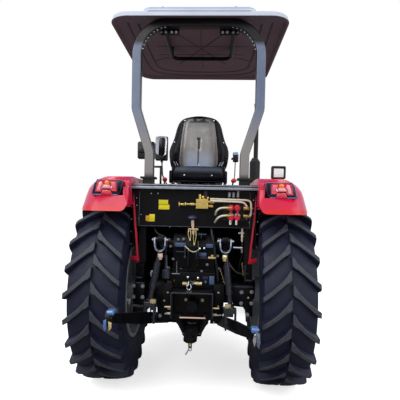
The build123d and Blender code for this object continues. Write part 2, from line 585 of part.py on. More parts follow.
def fender():
    """Right rear fender: a pressed shell over the tyre, with an inner wall and a rolled outer edge."""
    inner, outer, top = deck_half_width, fender_outer_x, fender_top_z
    hem_y = fender_rear_y - fender_hem
    profile = Polygon((fender_front_y, 900), (fender_front_y, 1130), (deck_front_y, 1430), (rear_axle_y + 390, top),
                      (fender_rear_y + 93, top), (fender_rear_y, fender_rear_z), (hem_y, fender_hem_z),
                      (hem_y, 1200), align=None)
    bends = profile.vertices().filter_by_position(Axis.X, fender_rear_y + 50, fender_front_y + 10)
    profile = fillet(bends.filter_by_position(Axis.Y, 1100, top + 10), fender_roll + 20)
    solid = extrude(Plane.YZ.offset(inner) * profile, amount=outer - inner, dir=(1, 0, 0))
    rolled = solid.faces().sort_by(Axis.X)[-1].edges().filter_by_position(Axis.Z, 1140, 2000)
    solid = fillet(rolled, fender_roll)
    core = offset(profile, amount=-sheet, kind=Kind.INTERSECTION)
    hollow = extrude(Plane.YZ.offset(inner + sheet) * core, amount=outer - inner - 2 * sheet, dir=(1, 0, 0))
    rolled = hollow.faces().sort_by(Axis.X)[-1].edges().filter_by_position(Axis.Z, 1140, 2000)
    hollow = fillet(rolled, fender_roll - sheet)
    below_lip = offset(profile, amount=-fender_lip, kind=Kind.INTERSECTION)
    side_cut = extrude(Plane.YZ.offset(inner + sheet + 40) * below_lip, amount=outer, dir=(1, 0, 0))
    shell = solid - hollow - side_cut
    axle = (rear_axle_y, rear_radius)
    shell -= bar((inner + sheet, *axle), (outer + 10, *axle), fender_inner_radius)
    shell -= bar((inner - 10, *axle), (inner + sheet + 1, *axle), fender_wall_radius)
    shell -= block((inner + sheet + 2, outer + 10), (rear_axle_y - 350, rear_axle_y + 450), (800, 1300))
    shell -= side_plate([(hem_y - 10, fender_hem_z), (rear_axle_y - 420, fender_hem_z), (rear_axle_y - 330, 1100),
                         (hem_y - 10, 1100)], (inner - 10, outer + 10))
    shell -= cross_plate([(inner - 5, fender_hem_z - 10), (inner + 26, fender_hem_z - 10), (inner - 5, fender_hem_z + 55)],
                         (hem_y - 10, fender_rear_y + 30))
    return shell - cross_plate(lamp_outline(fit_gap), (fender_rear_y - 52, fender_rear_y + 148))


def fender_braces():
    """Red flat bars from under the deck's lip down to the axle, each with a spread foot."""
    inner, outer, wide = deck_half_width - 30, deck_half_width - sheet - 1, deck_half_width + 12
    back = panel_y - 6
    strap = side_plate([(back, 1500), (back, panel_bottom_z - 10), (brace_foot_y + 3, tower_top_z + 6),
                        (brace_foot_y - 3, tower_top_z + 6), (back - 6, panel_bottom_z - 12), (back - 6, 1500)],
                       (inner, outer))
    foot = flat_plate([(inner - 6, brace_foot_y - 20), (wide, brace_foot_y - 20), (wide, brace_foot_y + 20),
                       (inner - 6, brace_foot_y + 20)], (tower_top_z, tower_top_z + 8))
    web = cross_plate([(inner, tower_top_z + 6), (wide, tower_top_z + 6), (wide, tower_top_z + 24),
                       (outer, tower_top_z + 60)], (brace_foot_y - 5, brace_foot_y + 1))
    return both(strap + foot + web)


def seat_shell():
    """Moulded back shell of the seat: raised middle panel with a groove, side bolsters and slots."""
    low, half, rear = back_bottom_z - 60, back_half_width, seat_rear_y
    points = [(-half + 5, low), (half - 5, low), (half, back_bottom_z + 88), (190, back_top_z - 100),
              (125, back_top_z), (-125, back_top_z), (-190, back_top_z - 100), (-half, back_bottom_z + 88)]
    shell = cross_plate(points, (rear, rear + 26), 30)
    shell = chamfer(shell.faces().sort_by(Axis.Y)[0].edges(), 9)
    raised = cross_plate([(-165, low + 30), (165, low + 30), (128, back_top_z - 40), (-128, back_top_z - 40)],
                         (rear - 12, rear + 4), 28)
    shell += chamfer(raised.faces().sort_by(Axis.Y)[0].edges(), 8)
    shell -= cross_plate([(-9, low + 60), (9, low + 60), (14, back_top_z - 170), (-14, back_top_z - 170)],
                         (rear - 20, rear - 2), 6)
    for shift in (0, 24):
        slot = cross_plate([(178 + shift, low + 46), (186 + shift, low + 44), (214 + shift, low + 86),
                            (206 + shift, low + 88)], (rear - 20, rear + 8))
        shell -= both(slot)
    wing = cross_plate([(half - 30, low + 4), (half - 4, low + 4), (half - 1, back_bottom_z + 86),
                        (half - 40, back_bottom_z + 190), (half - 60, back_bottom_z + 180),
                        (half - 28, back_bottom_z + 80)], (rear + 10, rear + 26))
    pan = block((-215, 215), (rear, seat_front_y + 20), (seat_pan_z - 12, seat_pan_z), 4)
    stem = block((-190, 190), (rear, rear + 26), (seat_pan_z - 10, back_bottom_z - 40))
    return shell + both(wing) + stem + pan


def seat_base():
    rails = both(block((120, 150), (seat_rear_y + 40, seat_front_y - 10), (deck_z, seat_pan_z - 12)))
    return rails + block((-150, 150), (seat_rear_y + 120, seat_front_y - 120), (deck_z, seat_pan_z - 28), 6)


def seat_cushion():
    return block((-seat_half_width, seat_half_width), (seat_rear_y + 28, seat_front_y),
                 (seat_bottom_z, seat_top_z), 26)


def seat_back():
    points = [(-back_half_width + 14, back_bottom_z), (back_half_width - 14, back_bottom_z),
              (back_half_width - 12, back_bottom_z + 88), (180, back_top_z - 110), (118, back_top_z - 12),
              (-118, back_top_z - 12), (-180, back_top_z - 110), (-back_half_width + 12, back_bottom_z + 88)]
    return cross_plate(points, (seat_rear_y + 26 + fit_gap, seat_rear_y + 110), 30)


# ---- Roll-over frame and canopy ----
def rops_frame():
    path = FilletPolyline(
        (-rops_foot_x, rops_y, rops_foot_z), (-rops_foot_x, rops_y, rops_lean_low_z),
        (-rops_post_x, rops_y, rops_lean_high_z), (-rops_post_x, rops_y, rops_top_z),
        (rops_post_x, rops_y, rops_top_z), (rops_post_x, rops_y, rops_lean_high_z),
        (rops_foot_x, rops_y, rops_lean_low_z), (rops_foot_x, rops_y, rops_foot_z),
        radius=[120, 120, rops_corner, rops_corner, 120, 120])
    tube = sweep(Plane(origin=path @ 0, z_dir=path % 0, x_dir=(1, 0, 0))
                 * RectangleRounded(rops_tube_x, rops_tube_y, 10), path=path)
    plate = block((rops_foot_x - 52, rops_foot_x + 60), (rops_y - 65, rops_y + 65),
                  (deck_z + 50, rops_foot_z))
    riser = block((rops_foot_x - 36, rops_foot_x + 44), (rops_y - 50, rops_y + 50),
                  (deck_z, deck_z + 52), 4)
    lower = block((trumpet_end_x - 62, trumpet_end_x - 8), (rops_y - 45, rops_y + 45),
                  (tower_top_z, deck_z - sheet))
    return tube + both(plate + riser + lower)


def canopy_frame():
    """U-shaped tube bolted to the top of the hoop by two plates, with pads under the roof."""
    y = rops_y + rops_tube_y / 2
    x, z = canopy_tube_x, canopy_tube_z
    frame = pipe([(-x, y, z), (-x, canopy_tube_y, z), (x, canopy_tube_y, z), (x, y, z)],
                 canopy_tube_radius, 70)
    for place in (canopy_tube_y - 100, y + 120):
        frame += both(block((x - 14, x + 14), (place - 30, place + 30), (z + 10, rops_top_z + rops_tube_y / 2)))
    plate = cross_plate([(x - 110, z - 40), (x + 30, z - 40), (x + 44, z - 20), (x + 44, z + 56), (x - 110, z + 56)],
                        (y, y + 8))
    rib = side_plate([(y, z - 36), (y + 90, z - 12), (y + 90, z), (y, z)], (x - 4, x + 4))
    return frame + both(plate + rib)


def canopy_roof():
    """Moulded roof: rounded rim turned down all round, raised crown, ribbed and stepped underside."""
    y_mid = (canopy_rear_y + canopy_front_y) / 2
    length = canopy_front_y - canopy_rear_y
    width = 2 * canopy_half_width
    seat_z = rops_top_z + rops_tube_y / 2
    skirt = extrude(Pos(0, y_mid, canopy_bottom_z) * RectangleRounded(width, length, canopy_corner),
                    amount=canopy_rim)
    skirt = fillet(skirt.faces().sort_by(Axis.Z)[-1].edges(), 34)
    crown = extrude(Pos(0, y_mid, canopy_bottom_z + canopy_rim - 4)
                    * RectangleRounded(width - 330, length - 360, 150),
                    amount=canopy_top_z - canopy_bottom_z - canopy_rim + 4, taper=30)
    hollow = extrude(Pos(0, y_mid, canopy_bottom_z - 1)
                     * RectangleRounded(width - 60, length - 60, canopy_corner - 30),
                     amount=seat_z - canopy_bottom_z + 1)
    bay_half, bay_rear, bay_front = canopy_tube_x - 40, rops_y + 95, canopy_front_y - 260
    bay = block((-bay_half, bay_half), (bay_rear, bay_front), (seat_z - 1, canopy_top_z - canopy_wall))
    bay = fillet(bay.edges().filter_by(Axis.Z), 40)
    rise = bay_front - bay_rear
    for sign in (-1, 1):
        rib = flat_plate([(-sign * bay_half - 6, bay_rear), (-sign * bay_half + 6, bay_rear),
                          (sign * bay_half + 6, bay_front), (sign * bay_half - 6, bay_front)],
                         (seat_z + 8, canopy_top_z))
        bay -= rib
    bay -= block((-bay_half, bay_half), (bay_rear + rise / 2 - 6, bay_rear + rise / 2 + 6), (seat_z + 8, canopy_top_z))
    return skirt + crown - hollow - bay


# ---- Lights, exhaust, mirrors ----
def tail_lights():
    lamp = cross_plate(lamp_outline(0), (lamp_rear_y, lamp_rear_y + lamp_depth))
    lamp -= cross_plate(lamp_outline(-14), (lamp_rear_y - 1, lamp_rear_y + 8), 8)
    return both(lamp)


def work_light():
    y, top = rear_axle_y - 250, fender_top_z
    head = block((560, 665), (y - 28, y + 22), (top + 10, top + 105), 10)
    head -= block((572, 653), (y - 40, y - 22), (top + 22, top + 93))
    for index in range(4):
        head += block((564, 661), (y + 20, y + 32), (top + 24 + index * 18, top + 32 + index * 18))
    stalk = block((604, 620), (y - 8, y + 14), (top, top + 16)) + block((594, 630), (y - 18, y + 18), (top, top + 5))
    return head + stalk


def exhaust():
    x, y, low, high = 597, 360, 1150, 1935
    body = revolve(Polygon((0, low), (36, low), (59, low + 46), (59, high - 46), (30, high), (0, high), align=None),
                   axis=Axis.Y)
    body = Pos(x, y, 0) * Rot(90, 0, 0) * body
    tail = pipe([(x + 8, y, high - 5), (x + 8, y, 2490), (x + 8, y + 62, 2552)], 25, 70)
    tail -= bar((x + 8, y + 40, 2530), (x + 8, y + 80, 2570), 21)
    feed = pipe([(head_half_width, 620, 900), (430, 620, 900), (x, y, 900), (x, y, low + 10)], 30, 80)
    stay = block((floor_half_width - 40, x), (floor_front_y, floor_front_y + 6), (floor_z - 6, low + 60))
    return body + tail + feed + stay


def mirrors():
    """Mirror on the left, lamp on the right, each on a bent rod from the dashboard."""
    glass = block((-477, -347), (-75, -35), (1842, 2094), 16)
    glass -= block((-465, -359), (-90, -70), (1856, 2080))
    rod = [(-412, -42, 1850), (-412, 30, 1700), (-320, 235, 1470), (-dash_half_width, 235, 1470)]
    clamp = bar((-412, -42, 1826), (-412, -42, 1852), 13)
    cup = bar((354, -50, 1866), (354, -50, 1938), 28) + bar((354, -50, 1856), (354, -50, 1868), 12)
    cup_rod = [(354, -50, 1870), (354, 30, 1700), (320, 235, 1470), (dash_half_width, 235, 1470)]
    return glass + clamp + pipe(rod, 7, 40) + cup + pipe(cup_rod, 5, 40)


def fuel_tank():
    rear = deck_front_y
    outer, inner = 10 - deck_half_width, 194 - deck_half_width
    tank = block((outer, inner), (rear, rear + 250), (620, 1000), 30)
    neck = bar((outer + 54, rear + 120, 990), (outer + 54, rear + 120, 1040), 30)
    neck += bar((outer + 54, rear + 120, 1020), (outer + 54, rear + 120, 1044), 38)
    for y in (rear + 50, rear + 180):
        tank += block((outer - 3, inner + 3), (y, y + 20), (617, 1003), 2)
    strap = block((inner - 2, -gearbox_half_width), (rear + 100, rear + 140), (700, 740))
    return tank + neck + strap


# ---- Rear equipment ----
def pto_shield():
    y, low, top = rear_case_rear_y, shield_bottom_z, shield_top_z
    hood = side_plate([(y - 150, low), (y - 150, top - 14), (y - 136, top), (y, top), (y, low)], (-144, 144))
    hood -= block((-134, 134), (y - 160, y - 12), (low - 10, top - 10))
    hood += both(block((132, 144), (y - 152, y - 146), (low - 4, top - 30)))
    cap = bar((0, y - 120, pto_z), (0, y, pto_z), pto_cap_radius)
    cap += bar((0, y - 126, pto_z), (0, y - 112, pto_z), pto_cap_radius - 14)
    return hood + cap + bar((0, y - 14, pto_z), (0, y, pto_z), 62)


def drawbar():
    rear, hole_y = rear_case_rear_y - 300, rear_case_rear_y - 250
    front = rear_axle_y + 150
    tongue = flat_plate([(-45, front), (45, front), (45, rear + 40), (20, rear), (-20, rear), (-45, rear + 40)],
                        (486, 510))
    hanger = cross_plate([(-120, 605), (-120, 560), (-70, 466), (70, 466), (120, 560), (120, 605),
                          (92, 605), (92, 566), (58, 484), (-58, 484), (-92, 566), (-92, 605)],
                         (rear_case_rear_y - 40, rear_case_rear_y))
    tongue -= bar((0, hole_y, 400), (0, hole_y, 600), 15)
    pin = bar((0, hole_y, 440), (0, hole_y, 560), 13)
    cap = bar((0, hole_y, 510), (0, hole_y, 522), 22)
    lug = block((-60, 60), (front - 60, front + 10), (510, rear_case_bottom_z))
    return tongue + hanger + cap + pin + lug


def lift_arms():
    half = lift_arm_thick / 2
    shaft = bar((-lift_arm_x - 40, rockshaft_y, rockshaft_z), (lift_arm_x + 40, rockshaft_y, rockshaft_z),
                rockshaft_radius)
    arm = side_plate([(rockshaft_y + 58, rockshaft_z - 20), (rockshaft_y + 40, rockshaft_z + 52),
                      (rockshaft_y - 50, rockshaft_z + 56), (lift_pin_y - 22, lift_pin_z + 20),
                      (lift_pin_y - 24, lift_pin_z - 18), (lift_pin_y + 20, lift_pin_z - 26),
                      (rockshaft_y, rockshaft_z - 58)],
                     (lift_arm_x - half, lift_arm_x + half), 12)
    arm += bar((lift_arm_x - half - 4, lift_pin_y, lift_pin_z), (lift_arm_x + half + 4, lift_pin_y, lift_pin_z), 24)
    arm += bar((lift_arm_x + half - 2, rockshaft_y, rockshaft_z), (lift_arm_x + half + 14, rockshaft_y, rockshaft_z), 50)
    hub_y, hub_z = rockshaft_y - 90, rockshaft_z + 14
    arm -= side_plate([(hub_y, hub_z - 26), (lift_pin_y + 60, lift_pin_z - 16), (lift_pin_y + 60, lift_pin_z + 8),
                       (hub_y, hub_z + 26)], (lift_arm_x + half - 5, lift_arm_x + half + 5), 5)
    arm -= bar((0, lift_pin_y, lift_pin_z), (300, lift_pin_y, lift_pin_z), lift_pin_radius + pin_play)
    return shaft + both(arm)


def rod_foot(end_x, end_z):
    """Centre of the pin that joins the lift rod to the lower link."""
    return (link_pivot_x + rod_place * (end_x - link_pivot_x),
            link_pivot_y + rod_place * (link_end_y - link_pivot_y),
            link_pivot_z + rod_place * (end_z - link_pivot_z))


def lift_rod(end_x, end_z):
    """Right-hand lift rod: U-shackle over the arm, threaded tube and slotted fork over the link."""
    foot_x, foot_y, foot_z = rod_foot(end_x, end_z)
    leg = lift_arm_thick / 2 + 20
    low = lift_pin_z - 78
    shackle = pipe([(lift_arm_x - leg, lift_pin_y, lift_pin_z + 14), (lift_arm_x - leg, lift_pin_y, low),
                    (lift_arm_x + leg, lift_pin_y, low), (lift_arm_x + leg, lift_pin_y, lift_pin_z + 14)],
                   8, 28)
    pin = bar((lift_arm_x - leg - 14, lift_pin_y, lift_pin_z), (lift_arm_x + leg + 14, lift_pin_y, lift_pin_z),
              lift_pin_radius)
    neck = (lift_arm_x, lift_pin_y, low + 4)
    fork_top = (foot_x, foot_y, foot_z + 118)
    tube = bar(neck, fork_top, rod_radius)
    sleeve = [tuple(n + share * (t - n) for n, t in zip(neck, fork_top)) for share in (0.24, 0.76)]
    tube += bar(sleeve[0], sleeve[1], rod_radius + 6)
    nut = Pos(lift_arm_x, lift_pin_y, low - 26) * extrude(RegularPolygon(16, 6), amount=24)
    lower_nut = Pos(foot_x, foot_y, foot_z + 112) * extrude(RegularPolygon(24, 6), amount=24)
    fork = block((foot_x - 40, foot_x + 40), (foot_y - 30, foot_y + 26), (foot_z - 36, foot_z + 116), 6)
    gap = block((foot_x - 27, foot_x + 27), (foot_y - 40, foot_y + 40), (foot_z - 50, foot_z + 84))
    slot = block((foot_x - 60, foot_x + 60), (foot_y - rod_pin_radius - 10, foot_y + rod_pin_radius + 4),
                 (foot_z - rod_pin_radius - 15, foot_z + rod_pin_radius + 8))
    return shackle + pin + tube + nut + lower_nut + (fork - gap - slot)


def lower_link(end_x, end_z):
    """Right-hand forged lower link with a ball at each end."""
    start = Vector(link_pivot_x, link_pivot_y, link_pivot_z)
    end = Vector(end_x, link_end_y, end_z)
    along = end - start
    frame = Plane(origin=start, x_dir=along, z_dir=(along.cross(Vector(0, 0, 1))))
    length = along.length
    half = link_depth / 2
    web = Polygon((0, -26), (90, -half), (length * 0.6, -half), (length - 30, -26), (length - 30, 26),
                  (length * 0.6, half), (90, half), (0, 26), align=None)
    bar_solid = extrude(frame * fillet(web.vertices(), 10), amount=link_thick / 2, both=True)
    pocket = Polygon((length * 0.5, -half + 16), (length - 110, -16), (length - 110, 16), (length * 0.5, half - 16),
                     align=None)
    pocket = extrude(frame * fillet(pocket.vertices(), 8), amount=link_thick, both=True)
    core = extrude(frame * Rectangle(3 * length, 3 * half), amount=link_thick / 2 - link_pocket, both=True)
    bar_solid -= pocket - core
    pivot_eye = bar((link_pivot_x - 15, link_pivot_y, link_pivot_z),
                    (link_pivot_x + 15, link_pivot_y, link_pivot_z), 38)
    half_eye, half_ball = eye_thick / 2, ball_width / 2
    end_eye = bar((end_x - half_eye, link_end_y, end_z), (end_x + half_eye, link_end_y, end_z), link_eye_radius)
    side_radius = math.sqrt(ball_radius ** 2 - half_ball ** 2)
    ball = Line((-half_ball, 0), (-half_ball, side_radius))
    ball += ThreePointArc((-half_ball, side_radius), (0, ball_radius), (half_ball, side_radius))
    ball += Line((half_ball, side_radius), (half_ball, 0)) + Line((half_ball, 0), (-half_ball, 0))
    ball = Pos(end_x, link_end_y, end_z) * revolve(make_face(ball), axis=Axis.X)
    link = bar_solid + pivot_eye + end_eye + ball
    link -= bar((link_pivot_x - 60, link_pivot_y, link_pivot_z), (link_pivot_x + 60, link_pivot_y, link_pivot_z),
                link_pivot_radius + pin_play)
    link -= bar((end_x - 60, link_end_y, end_z), (end_x + 60, link_end_y, end_z), link_bore_radius)
    foot_x, foot_y, foot_z = rod_foot(end_x, end_z)
    return link + bar((foot_x - 48, foot_y, foot_z), (foot_x + 48, foot_y, foot_z), rod_pin_radius)


def link_brackets():
    """Pins under the axle that carry the lower links."""
    pin = bar((rear_case_half_width - 10, link_pivot_y, link_pivot_z),
              (link_pivot_x + 40, link_pivot_y, link_pivot_z), link_pivot_radius)
    cheek = side_plate([(link_pivot_y - 45, rear_case_bottom_z + 30), (link_pivot_y + 45, rear_case_bottom_z + 30),
                        (link_pivot_y + 34, link_pivot_z - 32), (link_pivot_y - 34, link_pivot_z - 32)],
                       (rear_case_half_width - 30, rear_case_half_width - 2), 6)
    return both(pin + cheek)


def toplink_bracket():
    y = rear_case_rear_y + 10
    body = None
    for x in (-40, 26):
        ear = side_plate([(y, 930), (y - 95, 955), (y - 95, 1066), (y, 1084)], (x, x + 14), 8)
        body = ear if body is None else body + ear
    base = block((-50, 50), (y - 14, y), (925, 1085))
    body = body + base
    for z in toplink_hole_z:
        body -= bar((-80, y - 64, z), (80, y - 64, z), toplink_bore_radius)
    return body


def remote_couplers():
    """Mounting plate with four couplers, the fittings beside them and three spool ends above."""
    y = panel_y
    parts = block(coupler_plate_x, (y - 20, y), (1285, 1410), 3)
    for x, z in coupler_places:
        parts += bar((x, y - 58, z), (x, y - 18, z), 15)
        parts += Pos(x, y - 44, z) * Rot(90, 0, 0) * extrude(RegularPolygon(20, 6), amount=14)
    for z in fitting_z:
        for x in (coupler_left_x, fitting_x):
            parts += bar((x, y - 40, z), (x, y - 18, z), fitting_radius)
    for shift, top in ((43, 1490), (73, 1490), (105, 1502)):
        x = coupler_plate_x[0] + shift
        parts += bar((x, y - 15, 1400), (x, y - 15, top), 10)
    return parts


def coupler_caps():
    caps = None
    for x, z in coupler_places:
        cap = bar((x, panel_y - 82, z), (x, panel_y - 58, z), 21)
        cap = chamfer(cap.faces().sort_by(Axis.Y)[0].edges(), 6)
        cap += block((x - 5, x + 5), (panel_y - 70, panel_y - 58), (z - 34, z - 14), 2)
        caps = cap if caps is None else caps + cap
    return caps


def valve_block():
    """Flow divider with two ports on top, two at its right and a long fitting at its left."""
    y = panel_y - pipe_stand
    valve = block((valve_x, valve_x + 86), (panel_y - 60, panel_y), (1369, valve_top_z), 4)
    for x, rise in valve_ports:
        valve += bar((x, y, valve_top_z - 2), (x, y, valve_top_z + rise + 8), port_radius)
    for z in (1389, 1418):
        valve += bar((valve_x + 84, y, z), (valve_x + 115, y, z), port_radius)
    for start, end, radius in ((-73, 2, 8), (-79, -71, 16), (-43, -13, 12)):
        valve += bar((valve_x + start, y, 1400), (valve_x + end, y, 1400), radius)
    return valve


def hydraulic_pipes():
    """Two steel pipes from the valve to the right-hand fittings, and two from the left-hand ones."""
    y = panel_y - pipe_stand
    (high_x, high_rise), (low_x, low_rise) = valve_ports
    gap = fit_gap
    low_z, high_z = valve_top_z + low_rise, valve_top_z + high_rise
    pipes = pipe([(low_x + port_radius + gap, y, low_z), (fitting_x, y, low_z),
                  (fitting_x, y, max(fitting_z) + fitting_radius + gap)], pipe_radius, pipe_bend)
    pipes += pipe([(high_x + port_radius + gap, y, high_z), (fitting_x + 34, y, high_z),
                   (fitting_x + 34, y, min(fitting_z)), (fitting_x + fitting_radius + gap, y, min(fitting_z))],
                  pipe_radius, pipe_bend)
    for z, reach, drop in ((max(fitting_z), 72, 96), (min(fitting_z), 50, 54)):
        x = coupler_left_x - reach
        pipes += pipe([(coupler_left_x - fitting_radius - gap, y, z), (x, y, z), (x - 3, y, z - drop),
                       (x - 3, panel_y - gap, z - drop)], pipe_radius, pipe_bend)
    return pipes


def control_levers():
    levers = None
    for x, y in ((-290, seat_rear_y), (300, seat_rear_y + 60)):
        lever = bar((x, y, deck_z + 6), (x, y - 20, deck_z + 55), 6) + Pos(x, y - 20, deck_z + 68) * Sphere(16)
        lever += block((x - 16, x + 16), (y - 22, y + 22), (deck_z, deck_z + 12), 3)
        levers = lever if levers is None else levers + lever
    return levers


def pedals():
    pads = None
    for x in (-150, 110, 180):
        pad = block((x - 30, x + 30), (60, 68), (1150, 1230), 3) + bar((x, 66, 1152), (x, 100, 1120), 7)
        pad += bar((x, 96, 1120), (x, 168, 1120), 7)
        pads = pad if pads is None else pads + pad
    return pads


wheels()
right_knuckle = knuckle()
add("rear_axle_housing", rear_axle_housing() + link_brackets())
add("transmission", transmission())
add("engine_block", engine_block())
add("hydraulic_lift_housing", hydraulic_lift_housing())
add("front_bolster", front_bolster())
add("front_axle", front_axle())
add("knuckle_right", right_knuckle)
add("knuckle_left", mirror(right_knuckle, about=Plane.YZ))
add("tie_rod", tie_rod())
add("front_weights", front_weights())
add("radiator", radiator())
add("hood_shell", hood_shell())
add("grille", grille())
add("headlights", headlights())
add("platform", platform())
add("dashboard", dashboard())
add("steering_wheel", steering_wheel())
add("rear_deck", rear_deck())
right_fender = fender()
add("fender_right", right_fender)
add("fender_left", mirror(right_fender, about=Plane.YZ))
add("fender_braces", fender_braces())
add("seat_base", seat_base())
add("seat_shell", seat_shell())
add("seat_cushion", seat_cushion())
add("seat_back", seat_back())
add("rops_frame", rops_frame())
add("canopy_frame", canopy_frame())
add("canopy_roof", canopy_roof())
add("tail_lights", tail_lights())
add("work_light", work_light())
add("exhaust", exhaust())
add("mirrors", mirrors())
add("fuel_tank", fuel_tank())
add("pto_shield", pto_shield())
add("drawbar", drawbar())
add("lift_arms", lift_arms())
for side, sign, end_x, end_z in sides:
    for name, shape in (("lift_rod_", lift_rod(end_x, end_z)), ("lower_link_", lower_link(end_x, end_z))):
        add(name + side, shape if sign > 0 else mirror(shape, about=Plane.YZ))
add("toplink_bracket", toplink_bracket())
add("remote_couplers", remote_couplers())
add("coupler_caps", coupler_caps())
add("valve_block", valve_block())
add("hydraulic_pipes", hydraulic_pipes())
add("control_levers", control_levers())
add("pedals", pedals())

os.makedirs("parts", exist_ok=True)
for name, shape in nodes.items():
    export_step(shape, "parts/" + name + ".step")
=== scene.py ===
import math

import bpy
from bpy.props import FloatProperty, FloatVectorProperty, IntProperty, PointerProperty
from mathutils import Matrix, Vector


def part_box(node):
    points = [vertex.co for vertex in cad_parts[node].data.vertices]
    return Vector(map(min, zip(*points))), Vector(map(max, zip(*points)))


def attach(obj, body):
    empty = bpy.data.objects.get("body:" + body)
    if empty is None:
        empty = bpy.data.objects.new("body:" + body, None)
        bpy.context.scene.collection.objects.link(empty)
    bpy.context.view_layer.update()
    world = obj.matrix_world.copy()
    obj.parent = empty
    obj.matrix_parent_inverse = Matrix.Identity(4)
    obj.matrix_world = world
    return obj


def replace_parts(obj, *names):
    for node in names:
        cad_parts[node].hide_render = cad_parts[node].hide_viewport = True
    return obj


bl_info = {
    "name": "Farm Tractor Builder",
    "version": (1, 0, 0),
    "blender": (4, 5, 0),
    "location": "View3D > Sidebar > Tractor",
    "description": "Builds the tyres, seat, lamps, hitch and finishes of a farm tractor on its CAD frame",
    "category": "Object",
}

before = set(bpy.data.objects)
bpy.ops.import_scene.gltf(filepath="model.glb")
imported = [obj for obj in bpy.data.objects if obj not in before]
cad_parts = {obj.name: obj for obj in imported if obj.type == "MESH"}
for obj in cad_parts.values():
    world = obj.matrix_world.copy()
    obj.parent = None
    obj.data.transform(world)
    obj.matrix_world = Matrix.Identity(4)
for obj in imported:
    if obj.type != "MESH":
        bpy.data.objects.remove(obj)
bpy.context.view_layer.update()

SIDES = (("left", -1), ("right", 1))
REARWARD = (0, -1, 0)
HEM_DROP = 0.245  # from a fender's crest down to its hem at the rear
LAMP_INNER_X = 0.475  # the tail lamps' inner edges
LIFT_ARM_X = 0.225  # the lift arms' and shackles' middles


# ---- Colour, nodes and materials ----

def srgb(code, alpha=1.0):
    """An sRGB hex colour as the linear values that a shader takes."""
    channels = [int(code[i:i + 2], 16) / 255 for i in (1, 3, 5)]
    return tuple(c / 12.92 if c <= 0.04045 else ((c + 0.055) / 1.055) ** 2.4 for c in channels) + (alpha,)


def add_node(tree, kind, inputs=None, **settings):
    """Adds one shader node, sets its settings, and fills or links its inputs."""
    node = tree.nodes.new("ShaderNode" + kind)
    for key, value in settings.items():
        setattr(node, key, value)
    for key, value in (inputs or {}).items():
        if isinstance(value, bpy.types.NodeSocket):
            tree.links.new(value, node.inputs[key])
        else:
            node.inputs[key].default_value = value
    return node


def blend_colours(tree, factor, first, second):
    """The colour between two colours or colour sockets."""
    return add_node(tree, "Mix", {0: factor, 6: first, 7: second}, data_type="RGBA").outputs[2]


def maths(tree, operation, first, second=0.0):
    """One sum on values or sockets."""
    return add_node(tree, "Math", {0: first, 1: second}, operation=operation).outputs[0]


def ramp(tree, value, low, high, to_low=0.0, to_high=1.0):
    """A value that climbs from to_low to to_high while the socket goes from low to high."""
    return add_node(tree, "MapRange", {"Value": value, "From Min": low, "From Max": high,
                                       "To Min": to_low, "To Max": to_high}).outputs[0]


def part_of(tree, vector, axis):
    """One coordinate of a vector socket."""
    return add_node(tree, "SeparateXYZ", {0: vector}).outputs[axis]


def normal_of(tree):
    return add_node(tree, "NewGeometry").outputs["Normal"]


def surface(name, colour, second, patch_mm, rough, grain_mm, grain_depth_mm, metallic=0.0, specular=0.5,
            coat=0.0, dust=0.0, recolour=None, height=None):
    """A material: two close colours in soft patches, uneven gloss, grain, and dust on what faces up."""
    material = bpy.data.materials.new(name)
    material.use_nodes = True
    tree = material.node_tree
    tree.nodes.clear()
    place = add_node(tree, "TexCoord").outputs["Object"]
    patches = add_node(tree, "TexNoise", {"Vector": place, "Scale": 1000 / patch_mm, "Detail": 4.0,
                                          "Roughness": 0.6}).outputs["Fac"]
    paint = blend_colours(tree, ramp(tree, patches, 0.35, 0.65), srgb(colour), srgb(second))
    if recolour:
        paint = recolour(tree, place, paint)
    if dust:
        settled = ramp(tree, part_of(tree, normal_of(tree), "Z"), 0.3, 1.0, 0.0, dust)
        paint = blend_colours(tree, maths(tree, "MULTIPLY", settled, patches), paint, srgb("#8f8878"))
    gloss = ramp(tree, patches, 0.3, 0.7, *rough)
    grain = add_node(tree, "TexNoise", {"Vector": place, "Scale": 1000 / grain_mm,
                                        "Detail": 2.0}).outputs["Fac"]
    relief = height(tree, place) if height else grain
    bump = add_node(tree, "Bump", {"Height": relief, "Strength": 1.0, "Distance": grain_depth_mm / 1000})
    shader = add_node(tree, "BsdfPrincipled", {
        "Base Color": paint, "Roughness": gloss, "Metallic": metallic, "Specular IOR Level": specular,
        "Coat Weight": coat, "Coat Roughness": 0.06, "Normal": bump.outputs[0]})
    add_node(tree, "OutputMaterial", {"Surface": shader.outputs[0]})
    return material


def within(tree, place, axis, low, high, soft=0.004):
    """1 where one Object coordinate lies between two values, 0 outside, with a soft edge."""
    value = part_of(tree, place, axis)
    return maths(tree, "MULTIPLY", ramp(tree, value, low - soft, low + soft),
                 ramp(tree, value, high - soft, high + soft, 1.0, 0.0))


